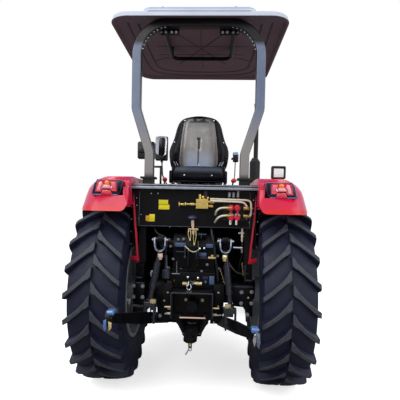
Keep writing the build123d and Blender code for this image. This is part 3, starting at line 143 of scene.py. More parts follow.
def canopy_backing_and_shade(tree, place, paint):
    """The roof's rim keeps the pale colour; the top of its crown is painted a darker blue-grey, a painted
    shade; its hollow side is a brown backing, partly its own colour and partly painted shade.
    """
    low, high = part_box("canopy_roof")
    centre = (low + high) / 2
    tray_half, crown_drop, crown_band = 0.66, 0.032, 0.022
    normal = normal_of(tree)
    away = add_node(tree, "VectorMath", {0: place, 1: tuple(centre)}, operation="SUBTRACT").outputs[0]
    away = add_node(tree, "VectorMath", {0: away, 1: (1, 1, 0)}, operation="MULTIPLY").outputs[0]
    outward = add_node(tree, "VectorMath", {0: away, 1: normal}, operation="DOT_PRODUCT").outputs["Value"]
    middle = maths(tree, "MULTIPLY", within(tree, place, "X", -0.60, 0.60),
                   within(tree, place, "Y", centre.y - tray_half, centre.y + tray_half))
    facing_up = part_of(tree, normal, "Z")
    # painted shade on the roof's hollow side, over its own brown backing
    under = maths(tree, "MAXIMUM", maths(tree, "LESS_THAN", outward, -0.02), middle)
    under = maths(tree, "MULTIPLY", under, maths(tree, "LESS_THAN", facing_up, 0.5))
    under = maths(tree, "MULTIPLY", under, within(tree, place, "Z", low.z - 0.1, high.z - crown_drop, 0.003))
    under = maths(tree, "MAXIMUM", under, maths(tree, "LESS_THAN", facing_up, -0.3))
    # painted shade: the crown's top is painted darker than the rim
    crown = within(tree, place, "Z", high.z - crown_band, high.z + 0.02, 0.003)
    return blend_colours(tree, under, blend_colours(tree, crown, paint, srgb("#93a2bb")), srgb("#6a5864"))


def hoop_painted_reflection(tree, place, paint):
    """The hoop's broad faces carry a painted reflection: silver-grey, browner below the bend; its sides and
    top are black.
    """
    broad = blend_colours(tree, within(tree, place, "Z", 2.0, 3.0, 0.15), srgb("#878585"), paint)
    flat = maths(tree, "ABSOLUTE", part_of(tree, normal_of(tree), "Y"))
    # painted reflection: the broad faces between these heights are painted grey for the bright surroundings
    # that they mirror
    silver = maths(tree, "MULTIPLY", ramp(tree, flat, 0.55, 0.85), within(tree, place, "Z", 1.62, 2.62, 0.02))
    return blend_colours(tree, silver, srgb("#101014"), broad)


def shell_painted_highlight(tree, place, paint):
    """The polished middle of the seat's back is taupe with a painted highlight: darker at its sides and head,
    and a painted blue reflection towards its foot.
    """
    low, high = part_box("seat_shell")
    head = within(tree, place, "Z", high.z - 0.085, high.z + 0.1, 0.045)
    flank = within(tree, place, "X", -0.105, 0.105, 0.035)
    # painted shade towards the sides and the head
    paint = blend_colours(tree, flank, srgb("#57524f"), paint)
    paint = blend_colours(tree, head, paint, srgb("#4d4a4b"))
    # painted blue reflection at the foot
    foot = maths(tree, "MULTIPLY", within(tree, place, "Z", low.z, low.z + 0.235, 0.05), flank)
    return blend_colours(tree, foot, paint, srgb("#98a4ba"))


def bodywork_painted_reflection(tree, place, paint):
    """Painted reflection: red enamel is painted a cooler, rosier cast where the panels turn outward and up.
    """
    normal = normal_of(tree)
    side = maths(tree, "ABSOLUTE", part_of(tree, normal, "X"))
    upward = ramp(tree, part_of(tree, normal, "Z"), 0.1, 0.5)
    cast = maths(tree, "MULTIPLY", ramp(tree, side, 0.3, 0.75, 0.0, 0.55), upward)
    return blend_colours(tree, cast, paint, srgb("#b45a86"))


def fender_painted_reflection(tree, place, paint):
    """The fenders' enamel with painted light: a painted rosy reflection on the broad faces and a warmer red
    band painted along the rolled hem.
    """
    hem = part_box("fender_left")[1].z - HEM_DROP
    # painted light: a warmer red band along the hem
    band = maths(tree, "MULTIPLY", within(tree, place, "Z", hem - 0.02, hem + 0.030, 0.003),
                 within(tree, place, "Y", -3.0, -1.42, 0.03))
    return blend_colours(tree, band, bodywork_painted_reflection(tree, place, paint), srgb("#c8141c"))


def base_painted_highlight(tree, place, paint):
    """Painted highlight: the seat base's cover is painted a soft grey along its shoulder, with a painted
    bluer reflection above it.
    """
    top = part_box("seat_cushion")[1].z
    paint = blend_colours(tree, within(tree, place, "Z", top - 0.042, top - 0.006, 0.016), paint,
                          srgb("#454b5c"))
    return blend_colours(tree, within(tree, place, "Z", top + 0.012, top + 0.07, 0.006), paint,
                         srgb("#16214a"))


def dark_below(tree, place, paint):
    """The coupler body is black below its bare spool ends."""
    low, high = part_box("remote_couplers")
    return blend_colours(tree, within(tree, place, "Z", low.z - 0.1, high.z - 0.046), paint, srgb("#0b0b10"))


def knob_red(tree, place, paint):
    """The lever balls are red vinyl on black stems."""
    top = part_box("control_levers")[1].z
    return blend_colours(tree, within(tree, place, "Z", top - 0.034, top + 0.01, 0.002), paint,
                         srgb("#c0182e"))


def lens_ribs(tree, place):
    """Moulded optic ribs, 6 mm apart."""
    return add_node(tree, "TexWave", {"Vector": place, "Scale": 1000 / 6 / 6.283, "Distortion": 0.0},
                    bands_direction="X").outputs["Fac"]


def leather_grain(tree, place):
    """Pebbled vinyl, 3 mm cells, drawn coarser than the real 1 mm so that it shows."""
    cells = add_node(tree, "TexVoronoi", {"Vector": place, "Scale": 1000 / 3}, feature="SMOOTH_F1")
    return cells.outputs["Distance"]


FINISHES = {  # name: colour, second colour, patch mm, (gloss from, to), grain mm, grain depth mm, the rest
    # Tyre rubber, moulded: matt blue-black carcass, tread tops scuffed to grey.
    "tyre_rubber": ("#12152a", "#191c33", 60, (0.5, 0.7), 3, 0.4, dict(specular=0.3)),
    "tread_rubber": ("#33353d", "#43454e", 25, (0.5, 0.75), 4, 0.5, dict(specular=0.3)),
    # Silver rim enamel, sprayed: pale, slightly metallic.
    "rim_enamel": ("#b4b7bd", "#a6a9b0", 120, (0.28, 0.4), 1.5, 0.05, dict(metallic=0.3, specular=0.5)),
    # Chassis enamel over sand castings: semi-gloss black with the casting's grain under it.
    "chassis_enamel": ("#060709", "#0b0c12", 80, (0.25, 0.42), 4, 0.35, dict(specular=0.16, dust=0.04)),
    # Red bodywork enamel, baked: deep, wet gloss, with a painted rosy reflection where the panels turn
    # outward.
    "red_enamel": ("#c60f30", "#b90c2a", 300, (0.32, 0.42), 2, 0.03,
                   dict(specular=0.35, coat=0.1, recolour=bodywork_painted_reflection)),
    # The same enamel on the fenders, painted rosier as a painted reflection, with a warm red band painted
    # along the hem as painted light.
    "fender_enamel": ("#c80f3c", "#bd0c36", 300, (0.3, 0.4), 2, 0.03,
                      dict(specular=0.35, coat=0.12, recolour=fender_painted_reflection)),
    # Black ABS, moulded: satin with a fine spark grain.
    "abs_black": ("#0c0c0f", "#131316", 90, (0.35, 0.5), 1.2, 0.08, dict(specular=0.35)),
    # Black enamel on pressed sheet: smooth, semi-gloss.
    "sheet_enamel": ("#09090c", "#0f0f13", 200, (0.25, 0.38), 2.5, 0.06, dict(specular=0.13, dust=0.03)),
    # Dark enamel on the posts, painted blue-grey on the broad faces as a painted reflection: satin with
    # orange peel.
    "post_enamel_painted_sky": ("#6b768c", "#5f6980", 260, (0.3, 0.45), 2, 0.08, dict(specular=0.35, recolour=hoop_painted_reflection)),
    # Vacuum-formed roof sheet: pale lavender-grey outside, with painted shade on the crown's top; a brown
    # backing inside, partly its own colour and partly painted shade.
    "roof_sheet": ("#bcc3d2", "#b0b7c8", 350, (0.4, 0.55), 3, 0.1,
                   dict(specular=0.35, recolour=canopy_backing_and_shade)),
    # Vinyl seat cover: blue-black, pebbled, polished by use.
    "seat_vinyl": ("#0c0d14", "#12141c", 70, (0.25, 0.4), 3, 0.2, dict(specular=0.4, height=leather_grain)),
    # The same vinyl over the seat's base, with a painted highlight along its shoulder.
    "base_vinyl": ("#06070c", "#0a0b12", 70, (0.3, 0.42), 3, 0.08, dict(specular=0.16, recolour=base_painted_highlight)),
    # Spool ends of plated steel over a black body.
    "coupler_steel": ("#a9adb6", "#8b8f99", 14, (0.3, 0.45), 1, 0.04,
                      dict(metallic=0.3, specular=0.4, recolour=dark_below)),
    # Enamelled lift rods: black with a soft grey sheen.
    "rod_enamel": ("#181b23", "#23262f", 25, (0.22, 0.34), 2, 0.05, dict(specular=0.6)),
    # Moulded seat shell: black polypropylene with a polished taupe middle.
    "seat_moulding": ("#06070d", "#0a0b14", 60, (0.2, 0.32), 1.5, 0.03, dict(specular=0.12)),
    # The same shell's middle, polished taupe, with a painted highlight and a painted blue reflection at its
    # foot.
    "seat_middle": ("#92908f", "#7d7a79", 70, (0.2, 0.3), 1.5, 0.03,
                    dict(specular=0.6, coat=0.4, recolour=shell_painted_highlight)),
    # The groove down that middle, unpolished and dark.
    "seat_groove": ("#2b2a2c", "#3a393c", 40, (0.4, 0.5), 1.5, 0.03, dict(specular=0.2)),
    # Lever stems with red vinyl balls.
    "lever_finish": ("#101013", "#17171b", 30, (0.25, 0.35), 1.2, 0.05,
                     dict(specular=0.4, recolour=knob_red)),
    # Painted reflection along the deck's pressed edge and the seat's slot edges: pale grey, slightly
    # metallic.
    "worn_edge": ("#9aa0ab", "#7f8591", 40, (0.3, 0.45), 2, 0.05, dict(metallic=0.3, specular=0.4)),
    # Blue-grey: painted sky reflections on the lift housing's edges, drawn as small plates, and the enamel of
    # the blue plugs.
    "blue_enamel": ("#4d6790", "#3f5578", 20, (0.25, 0.35), 1.5, 0.05, dict(specular=0.45)),
    # Dark blue moulded knob.
    "knob_blue": ("#22233f", "#2b2c4b", 20, (0.3, 0.4), 1.5, 0.05, dict(specular=0.45)),
    # Chromed steel: bright.
    "chrome": ("#dfe3ea", "#cfd4dc", 30, (0.06, 0.14), 1, 0.01, dict(metallic=1.0)),
    # Satin-chromed mirror shell: pale silver.
    "satin_chrome": ("#c3c9d4", "#aeb5c2", 60, (0.18, 0.3), 1.5, 0.02, dict(metallic=0.6, specular=0.6)),
    # Convex mirror glass: dark, glossy.
    "dark_glass": ("#08090d", "#0d0f14", 120, (0.12, 0.2), 40, 0.0, dict(specular=0.25)),
    # Dull blue-grey enamel: dark; on the small parts it is their colour, and along pressed edges it is a
    # painted highlight.
    "edge_enamel": ("#343a4a", "#2a2f3d", 30, (0.25, 0.35), 2, 0.05, dict(specular=0.5)),
    # Violet-black enamel on the stop plates.
    "violet_enamel": ("#2e2440", "#261d36", 20, (0.3, 0.4), 1.5, 0.05, dict(specular=0.4)),
    # Worn label film gone to amber.
    "amber_film": ("#c98a1e", "#e0b42a", 12, (0.35, 0.45), 2, 0.02, dict()),
    # Sand-coloured enamel with a pink cast.
    "pink_cream": ("#e2c4b4", "#cfa998", 12, (0.3, 0.4), 1.5, 0.04, dict(specular=0.5)),
    # Pale yellow-passivated zinc: light straw colour.
    "pale_brass": ("#e6d7a6", "#c8b070", 8, (0.3, 0.42), 1, 0.04, dict(metallic=0.55, specular=0.5)),
    # Straw-coloured enamel on the rods' lock nuts.
    "straw_enamel": ("#b5a67c", "#8f8260", 10, (0.4, 0.5), 1, 0.04, dict(specular=0.3)),
    # Navy bezel moulding; the lavender on its rolled edge is a painted reflection.
    "bezel_navy": ("#15172e", "#1d2040", 30, (0.2, 0.3), 1.5, 0.03, dict(specular=0.45)),
    "bezel_edge": ("#8184b4", "#5f6391", 20, (0.25, 0.35), 1.5, 0.03, dict(specular=0.45)),
    # Pale rosy reflector prisms.
    "rose_lens": ("#f3b6c4", "#e48ba4", 5, (0.06, 0.1), 2, 0.4, dict(coat=0.6)),
    # Olive-brown passivated zinc wire.
    "brown_zinc": ("#8a7350", "#6d5a3c", 8, (0.3, 0.42), 1, 0.04, dict(metallic=0.6)),
    # Orange-gold passivated nut.
    "orange_zinc": ("#d98a3a", "#b86f2a", 8, (0.3, 0.42), 1, 0.04, dict(metallic=0.5)),
    # Worn forged steel on the shackles: silver-blue.
    "shackle_steel": ("#8f99ad", "#5e6678", 14, (0.25, 0.4), 1.5, 0.06, dict(metallic=0.8)),
    # Dull rubber-coated splash shield: near black.
    "matt_black": ("#050507", "#0a0a0c", 120, (0.6, 0.8), 4, 0.2, dict(specular=0.15)),
    # Rubber hose: satin black.
    "hose_rubber": ("#0c0c0f", "#16161a", 20, (0.35, 0.5), 1.5, 0.1, dict(specular=0.4)),
    # Bright blue enamel on the link-end catches.
    "catch_blue": ("#5b86c4", "#3d5f96", 18, (0.2, 0.3), 1.5, 0.05, dict(specular=0.6, coat=0.4)),
    # The roof's brown backing, partly its own colour and partly painted shade.
    "roof_backing": ("#5c4c57", "#4a3c46", 200, (0.5, 0.65), 3, 0.1, dict(specular=0.25)),
    # Mirror glass painted sky blue: a painted reflection of the sky.
    "sky_glass": ("#7fb2e6", "#a6cdf2", 60, (0.04, 0.08), 20, 0.0, dict(specular=0.6, coat=0.5)),
    # Heat-resistant exhaust enamel: dull black, slightly bleached.
    "exhaust_enamel": ("#17171a", "#29272a", 90, (0.5, 0.7), 2, 0.15, dict(specular=0.3)),
    # Zinc-plated steel: bright blue-white metal, slightly dulled.
    "zinc_steel": ("#b9bdc4", "#8e929b", 14, (0.25, 0.45), 1, 0.04, dict(metallic=1.0)),
    # Yellow-passivated zinc: straw-coloured metal.
    "yellow_zinc": ("#d9c27a", "#b79b4c", 9, (0.3, 0.45), 1, 0.04, dict(metallic=0.9)),
    # Polyvinyl caps, dip moulded: glossy red.
    "cap_vinyl": ("#d1203c", "#b81530", 12, (0.25, 0.35), 1, 0.04, dict(specular=0.5)),
    # Painted steel pipe: cream enamel.
    "cream_enamel": ("#ded6c2", "#c9bfa8", 20, (0.3, 0.4), 1.5, 0.04, dict()),
    # Blank adhesive label: satin yellow film.
    "label_film": ("#e9dc1c", "#ddcf18", 30, (0.35, 0.45), 2, 0.02, dict()),
    # Turned brass: warm metal.
    "brass": ("#c9a25a", "#a8823f", 8, (0.25, 0.4), 1, 0.04, dict(metallic=1.0)),
    # Red acrylic lens with moulded ribs: saturated, glossy, lit from behind by its reflector.
    "red_lens": ("#e0263c", "#c81a30", 12, (0.08, 0.14), 3, 0.5, dict(coat=0.6, height=lens_ribs)),
    "amber_lens": ("#f08a1e", "#e07a12", 12, (0.08, 0.14), 3, 0.5, dict(coat=0.6, height=lens_ribs)),
    # Pink prisms of the same lens, over the bulbs.
    "pink_lens": ("#f07a92", "#d94a68", 6, (0.05, 0.1), 2, 0.4, dict(coat=0.6)),
    # Clear polycarbonate lens over a reflector: bright and pale.
    "clear_lens": ("#e9edf0", "#d5dade", 10, (0.06, 0.12), 3, 0.6, dict(coat=0.8, height=lens_ribs)),
}
NODE_FINISH = {
    "rim_enamel": ("rear_rim_left", "rear_rim_right", "front_rim_left", "front_rim_right"),
    "red_enamel": ("fender_left", "fender_right", "fender_braces", "hood_shell"),
    "abs_black": ("dashboard", "grille", "headlights", "mirrors", "tail_lights", "work_light",
                  "steering_wheel", "fuel_tank", "pedals"),
    "sheet_enamel": ("rear_deck", "platform", "canopy_frame", "seat_base"),
    "post_enamel_painted_sky": ("rops_frame",),
    "lever_finish": ("control_levers",),
    "roof_sheet": ("canopy_roof",),
    "seat_moulding": ("seat_shell",),
    "exhaust_enamel": ("exhaust",),
    "coupler_steel": ("remote_couplers",),
    "rod_enamel": ("lift_rod_left", "lift_rod_right"),
    "yellow_zinc": ("valve_block",),
    "cream_enamel": ("hydraulic_pipes",),
    "cap_vinyl": ("coupler_caps",),
}
materials = {}


def finish_of(name):
    """The material of that name, made once."""
    if name not in materials:
        *values, rest = FINISHES[name]
        materials[name] = surface(name, *values, **rest)
    return materials[name]


# ---- Modelling helpers ----

def start(primitive, **settings):
    """Adds one primitive with nothing else selected, and returns it."""
    bpy.ops.object.select_all(action="DESELECT")
    getattr(bpy.ops.mesh, "primitive_" + primitive + "_add")(**settings)
    return bpy.context.view_layer.objects.active


def only(piece):
    """Makes a piece the one selected and active object."""
    bpy.ops.object.select_all(action="DESELECT")
    piece.select_set(True)
    bpy.context.view_layer.objects.active = piece
    return piece


def applied(piece):
    """Writes a piece's place, turn and scale into its mesh."""
    only(piece)
    bpy.ops.object.transform_apply(location=True, rotation=True, scale=True)
    return piece


def moved(piece, x=0, y=0, z=0):
    """Shifts a piece's mesh."""
    piece.data.transform(Matrix.Translation((x, y, z)))
    return piece


def modified(piece, kind, **settings):
    """Adds a modifier with its settings and applies it."""
    only(piece)
    modifier = piece.modifiers.new(kind.lower(), kind)
    for key, value in settings.items():
        setattr(modifier, key, value)
    bpy.ops.object.modifier_apply(modifier=modifier.name)
    return piece


def work(*steps):
    """Runs edit-mode steps on what pick selected."""
    bpy.ops.object.mode_set(mode="EDIT")
    for step in steps:
        step()
    bpy.ops.object.mode_set(mode="OBJECT")


def in_edit(piece, *steps):
    """Runs edit-mode steps on everything in a piece."""
    only(piece)
    work(lambda: bpy.ops.mesh.select_all(action="SELECT"), *steps)


def pick(piece, faces):
    """Selects the faces of a piece that pass a test of their centre and normal."""
    only(piece)
    mesh = piece.data
    for group in (mesh.vertices, mesh.edges, mesh.polygons):
        group.foreach_set("select", [False] * len(group))
    bpy.context.tool_settings.mesh_select_mode = (False, False, True)
    for face in mesh.polygons:
        face.select = bool(faces(face.center, face.normal))


def cut(piece, faces, point, normal, clear=False):
    """Cuts the faces that pass a test along a plane, and clears what lies beyond it if asked."""
    pick(piece, faces)
    work(lambda: bpy.ops.mesh.bisect(plane_co=point, plane_no=normal, clear_outer=clear, use_fill=False))


def stepped(piece, toward, *insets):
    """Insets the faces that look along a direction, once for each (thickness, depth)."""
    toward = Vector(toward)
    pick(piece, faces=lambda c, n: n.dot(toward) > 0.9)
    work(*[lambda i=inset: bpy.ops.mesh.inset(thickness=i[0], depth=i[1]) for inset in insets])
    return piece


def outward():
    bpy.ops.mesh.remove_doubles(threshold=1e-6)
    bpy.ops.mesh.normals_make_consistent(inside=False)


def softened(piece, width, segments=2, angle=35):
    """Rounds the edges sharper than an angle."""
    return modified(piece, "BEVEL", width=width, segments=segments, limit_method="ANGLE",
                    angle_limit=math.radians(angle))


def settle(piece, name, finish, slot, angle=35, body="chassis"):
    """Names a piece, gives it its finish and smooth shading, and hangs it on its body."""
    applied(piece)
    if angle:
        bpy.ops.object.shade_smooth_by_angle(angle=math.radians(angle))
    piece.name = piece.data.name = name
    for entry in ([finish] if isinstance(finish, str) else finish):
        piece.data.materials.append(finish_of(entry))
    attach(piece, body)
    return piece


def joined(*pieces):
    """Joins pieces into the first."""
    bpy.ops.object.select_all(action="DESELECT")
    for piece in pieces:
        piece.select_set(True)
    bpy.context.view_layer.objects.active = pieces[0]
    if len(pieces) > 1:
        bpy.ops.object.join()
    return bpy.context.view_layer.objects.active


def twin(piece):
    """A copy of a piece with its own mesh."""
    copy = piece.copy()
    copy.data = piece.data.copy()
    bpy.context.collection.objects.link(copy)
    return copy


def copies(source, matrices):
    """Copies a modelled piece to each place, joined in one piece, and removes the source."""
    made = []
    for matrix in matrices:
        made.append(twin(source))
        made[-1].data.transform(matrix)
        if matrix.determinant() < 0:
            made[-1].data.flip_normals()
    bpy.data.objects.remove(source)
    return joined(*made)


def facing(point, direction, up=(0, 0, 1)):
    """The placement that puts a piece's +Z along a direction at a point."""
    z = Vector(direction).normalized()
    up = Vector(up)
    if abs(z.dot(up)) > 0.99:
        up = Vector((0, 1, 0))
    x = up.cross(z).normalized()
    y = z.cross(x)
    return Matrix.Translation(point) @ Matrix((x, y, z)).transposed().to_4x4()


def rounded_box(low, high, radius, segments=2):
    """A box between two corners with rounded edges."""
    low, high = Vector(low), Vector(high)
    piece = start("cube", size=1, location=(low + high) / 2)
    piece.scale = high - low
    return softened(applied(piece), radius, segments)


def shaft(start_point, end_point, radius, end_radius=None, sides=24, bevel=0.001):
    """A round bar or cone between two points, with its ends eased."""
    a, b = Vector(start_point), Vector(end_point)
    piece = start("cone", vertices=sides, radius1=radius, depth=(b - a).length,
                  radius2=radius if end_radius is None else end_radius)
    piece.data.transform(facing((a + b) / 2, b - a))
    return softened(piece, bevel, 1) if bevel else piece


def outline(points, depth, plane="XZ"):
    """A flat piece: a disc's corners are set to the points, then it is extruded by a depth."""
    piece = start("circle", vertices=len(points), fill_type="NGON")
    for vertex, (u, v) in zip(piece.data.vertices, points):
        vertex.co = {"XZ": (u, 0, v), "XY": (u, v, 0)}[plane]
    step = {"XZ": (0, depth, 0), "XY": (0, 0, depth)}[plane]
    in_edit(piece, lambda: bpy.ops.mesh.extrude_region_move(TRANSFORM_OT_translate={"value": step}),
            lambda: bpy.ops.mesh.select_all(action="SELECT"), outward)
    return piece


def upright(points, depth, y):
    """A flat piece outlined in X and Z, extruded by a depth from its place along Y."""
    return moved(outline(points, depth), y=y)


def turned(points, centre, axis, steps=48):
    """A turned piece: a closed section of (along, radius) points, spun about an axis through a centre."""
    piece = start("circle", vertices=len(points), fill_type="NOTHING")
    for vertex, (along_axis, radius) in zip(piece.data.vertices, points):
        vertex.co = (radius, 0, along_axis)
    in_edit(piece,
            lambda: bpy.ops.mesh.spin(steps=steps, angle=2 * math.pi, center=(0, 0, 0), axis=(0, 0, 1)),
            lambda: bpy.ops.mesh.select_all(action="SELECT"),
            lambda: bpy.ops.mesh.remove_doubles(threshold=1e-6),
            lambda: bpy.ops.mesh.dissolve_degenerate(threshold=1e-6),
            lambda: bpy.ops.mesh.normals_make_consistent(inside=False))
    piece.data.transform(facing(centre, axis))
    return piece


def swept(points, radius, sides=6, closed=False):
    """A round bar that follows a smooth path through points."""
    bpy.ops.object.select_all(action="DESELECT")
    bpy.ops.curve.primitive_nurbs_path_add()
    path = bpy.context.view_layer.objects.active
    path.data.splines.clear()
    spline = path.data.splines.new("NURBS")
    spline.points.add(len(points) - 1)
    for point, place in zip(spline.points, points):
        point.co = (*place, 1)
    spline.order_u = 3
    spline.use_endpoint_u = not closed
    spline.use_cyclic_u = closed
    path.data.bevel_depth, path.data.bevel_resolution = radius, sides // 2
    path.data.resolution_u, path.data.use_fill_caps = 6, True
    only(path)
    bpy.ops.object.convert(target="MESH")
    return bpy.context.view_layer.objects.active


def stationed_bar(stations):
    """A bar of square section extruded through its stations, each with four corners in order round it."""
    piece = start("cube", size=2)
    pick(piece, faces=lambda c, n: n.x > 0.9)
    work(*[lambda: bpy.ops.mesh.extrude_region_move(TRANSFORM_OT_translate={"value": (2, 0, 0)})]
         * (len(stations) - 2))
    corner = {(1, 1): 0, (-1, 1): 1, (-1, -1): 2, (1, -1): 3}
    for vertex in piece.data.vertices:
        station = stations[round((vertex.co.x + 1) / 2)]
        vertex.co = station[corner[(round(vertex.co.y), round(vertex.co.z))]]
    in_edit(piece, outward)
    return piece


def hex_bolt(across, head, washer=True):
    """A hexagon bolt head on its washer, standing on z = 0."""
    bolt = start("cylinder", vertices=6, radius=across / math.sqrt(3), depth=head, location=(0, 0, head / 2))
    softened(applied(bolt), head * 0.16, 1)
    if not washer:
        return bolt
    ring = start("cylinder", vertices=16, radius=across * 0.78, depth=head * 0.3, location=(0, 0, head * 0.1))
    return joined(bolt, applied(ring))


def bolts(name, points, across, head, finish="zinc_steel", washer=True, directions=None):
    """Bolt heads that face rearward, or along the directions given."""
    aims = directions or [REARWARD] * len(points)
    piece = copies(hex_bolt(across, head, washer), [facing(p, d) for p, d in zip(points, aims)])
    return settle(piece, name, finish, "zinc_steel")


def along(table, at):
    """A value read between the rows of a short table of (place, value)."""
    for (a, first), (b, second) in zip(table, table[1:]):
        if at <= b:
            share = max(0.0, (at - a) / (b - a))
            return first + (second - first) * share
    return table[-1][1]


def clamp(value):
    return max(0.0, min(1.0, value))


# ---- Sizes that a user would change ----

class TractorTyres(bpy.types.PropertyGroup):
    rear_lugs: IntProperty(name="Rear lugs", description="Tread lugs on each side of a rear tyre", default=24,
                           min=12)
    front_lugs: IntProperty(name="Front lugs", description="Tread lugs on each side of a front tyre",
                            default=20, min=12)
    rear_lug_height: FloatProperty(name="Rear lug height", description="Height of a lug over the carcass",
                                   default=0.036, unit="LENGTH")
    front_lug_height: FloatProperty(name="Front lug height", description="Height of a lug over the carcass",
                                    default=0.028, unit="LENGTH")
    rear_turn_left: FloatProperty(name="Left tread turn",
                                  description="Angle of the left rear tyre's first lug tip",
                                  default=0.8631, subtype="ANGLE")
    rear_turn_right: FloatProperty(name="Right tread turn",
                                   description="Angle of the right rear tyre's first lug tip",
                                   default=1.0138, subtype="ANGLE")


class TractorSeat(bpy.types.PropertyGroup):
    voxel: FloatProperty(name="Voxel", description="Grid size of the cushions before they are inflated",
                         default=0.006, unit="LENGTH")
    pressure: FloatProperty(name="Pressure", description="Air pressure that fills the cushions", default=4.0)
    swell: FloatProperty(name="Swell", description="The furthest that a point of a cushion may move",
                         default=0.022, unit="LENGTH")


class TractorStage(bpy.types.PropertyGroup):
    key_power: FloatProperty(name="Key light", description="Power of the large soft light", default=300.0,
                             unit="POWER")
    sky: FloatProperty(name="Sky", description="Strength of the even light from all round", default=0.5)
    backdrop: FloatVectorProperty(name="Backdrop", description="Colour behind the tractor",
                                  default=(1.0, 1.0, 1.0), size=3, subtype="COLOR")
    camera_place: FloatVectorProperty(name="Camera", description="Where the camera stands",
                                      default=(0.1357, -4.1636, 1.4085), size=3, subtype="XYZ", unit="LENGTH")


# ---- Tyres ----

def carcass(half, radius, rim_radius, rim_half, lug):
    """The tyre's section, bead to bead, with the tread base under the lugs and a raised band on each wall."""
    crown, drop = radius - lug, radius - rim_radius
    wall = ((0.94, 0.17), (0.975, 0.30), (0.985, 0.33), (0.998, 0.50), (0.985, 0.62), (0.965, 0.70),
            (0.90, 0.80))
    side = [(rim_half - 0.001, rim_radius + 0.001), (rim_half - 0.001, rim_radius + 0.023)]
    side += [(half * share, rim_radius + rise * drop) for share, rise in wall]
    side += [(half * 0.80, crown - 0.022), (half * 0.60, crown - 0.009), (half * 0.30, crown - 0.002)]
    return side + [(0, crown)] + [(-x, r) for x, r in reversed(side)]


def lug_stations(half, radius, lug, sweep, wide):
    """A tread lug from its broad inner end, along a slight curve, to its square tip low on the shoulder."""
    # share of half width and radius at the top, the same at the root, share of sweep, half width
    table = (
        (0.016, -0.0005, 0.016, -lug - 0.010, 0.00, 1.50), (0.120, -0.0007, 0.120, -lug - 0.010, 0.11, 1.44),
        (0.200, -0.0008, 0.200, -lug - 0.010, 0.20, 1.02), (0.450, -0.0020, 0.450, -lug - 0.016, 0.46, 0.80),
        (0.710, -0.0065, 0.700, -lug - 0.026, 0.70, 0.78), (0.895, -0.0135, 0.830, -lug - 0.040, 0.85, 0.80),
        (0.992, -0.0250, 0.880, -lug - 0.052, 0.92, 0.84), (0.998, -0.0550, 0.905, -lug - 0.062, 0.96, 0.86),
        (0.990, -0.1080, 0.945, -lug - 0.085, 1.00, 0.80))
    root_flare = 0.006  # how much further each flank reaches at the lug's root
    stations = []
    for top_x, top_r, root_x, root_r, share, width in table:
        corners = []
        for x, r, edge in ((top_x, top_r, wide * width), (root_x, root_r, wide * width + root_flare)):
            ring = radius + r
            for sign in (1, -1):
                angle = -share * sweep + sign * edge / ring
                corners.append((half * x, -ring * math.cos(angle), ring * math.sin(angle)))
        stations.append((corners[0], corners[1], corners[3], corners[2]))
    return stations


def tractor_tyre(node, body, radius, rim_radius, rim_half, lug, count, sweep, wide, first, centre):
    """One tyre: a spun carcass and two staggered rows of lugs, in the place of its plain CAD solid."""
    low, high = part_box(node)
    half = (high.x - low.x) / 2 - 0.0005
    tread_depth = 0.032  # how far below the tips a lug's faces still count as its worn top
    ring = turned(carcass(half, radius, rim_radius, rim_half, lug), centre, (1, 0, 0), 96)
    bar = softened(stationed_bar(lug_stations(half, radius, lug, sweep, wide)), 0.0035, 1, 50)
    pitch = 2 * math.pi / count
    matrices = []
    for index in range(count):
        for side in (1, -1):
            angle = first + (index + (0.5 if side * centre.x < 0 else 0.0)) * pitch + sweep
            matrices.append(Matrix.Translation(centre) @ Matrix.Rotation(-angle, 4, "X")
                            @ Matrix.Diagonal((side, 1, 1, 1)))
    lugs = copies(bar, matrices)
    for finish in ("tyre_rubber", "tread_rubber"):
        lugs.data.materials.append(finish_of(finish))
    for face in lugs.data.polygons:
        away = face.center - centre
        away.x = 0
        on_top = away.length > radius - tread_depth and face.normal.dot(away.normalized()) > 0.6
        face.material_index = 1 if on_top else 0
    ring.data.materials.append(finish_of("tyre_rubber"))
    piece = settle(joined(ring, lugs), node + "_tread", (), "tyre", 32, body)
    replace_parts(piece, node)


class BuildTyres(bpy.types.Operator):
    """Rear and front tyres with their tread lugs"""
    bl_idname = "tractor.tyres"
    bl_label = "Tyres"

    def execute(self, context):
        sizes = context.scene.tractor_tyres
        front_turn = 0.1  # the angle of a front tyre's first lug tip
        axles = (("rear", 0.381, 0.165, sizes.rear_lug_height, sizes.rear_lugs, 0.250, 0.0225),
                 ("front", 0.305, 0.1015, sizes.front_lug_height, sizes.front_lugs, 0.21, 0.018))
        for side in ("left", "right"):
            for axle, rim_radius, rim_half, lug, count, sweep, wide in axles:
                node = f"{axle}_tyre_{side}"
                low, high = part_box(node)
                centre = (low + high) / 2
                radius = (high.z - low.z) / 2
                centre.z = low.z + radius
                first = getattr(sizes, f"rear_turn_{side}") if axle == "rear" else front_turn
                tractor_tyre(node, f"{axle}_wheel_{side}", radius - 0.0003, rim_radius, rim_half, lug, count,
                             sweep, wide, first, centre)
        return {"FINISHED"}


# ---- Finishes of the CAD nodes ----

class FinishFrame(bpy.types.Operator):
    """Gives every CAD node its enamel, plating, plastic or casting finish"""
    bl_idname = "tractor.finish_frame"
    bl_label = "Frame finishes"

    def execute(self, context):
        chosen = {node: finish for finish, nodes in NODE_FINISH.items() for node in nodes}
        for name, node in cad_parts.items():
            material = finish_of(chosen.get(name, "chassis_enamel"))
            if not node.data.materials:
                node.data.materials.append(None)
            for index in range(len(node.data.materials)):
                node.data.materials[index] = material
        return {"FINISHED"}


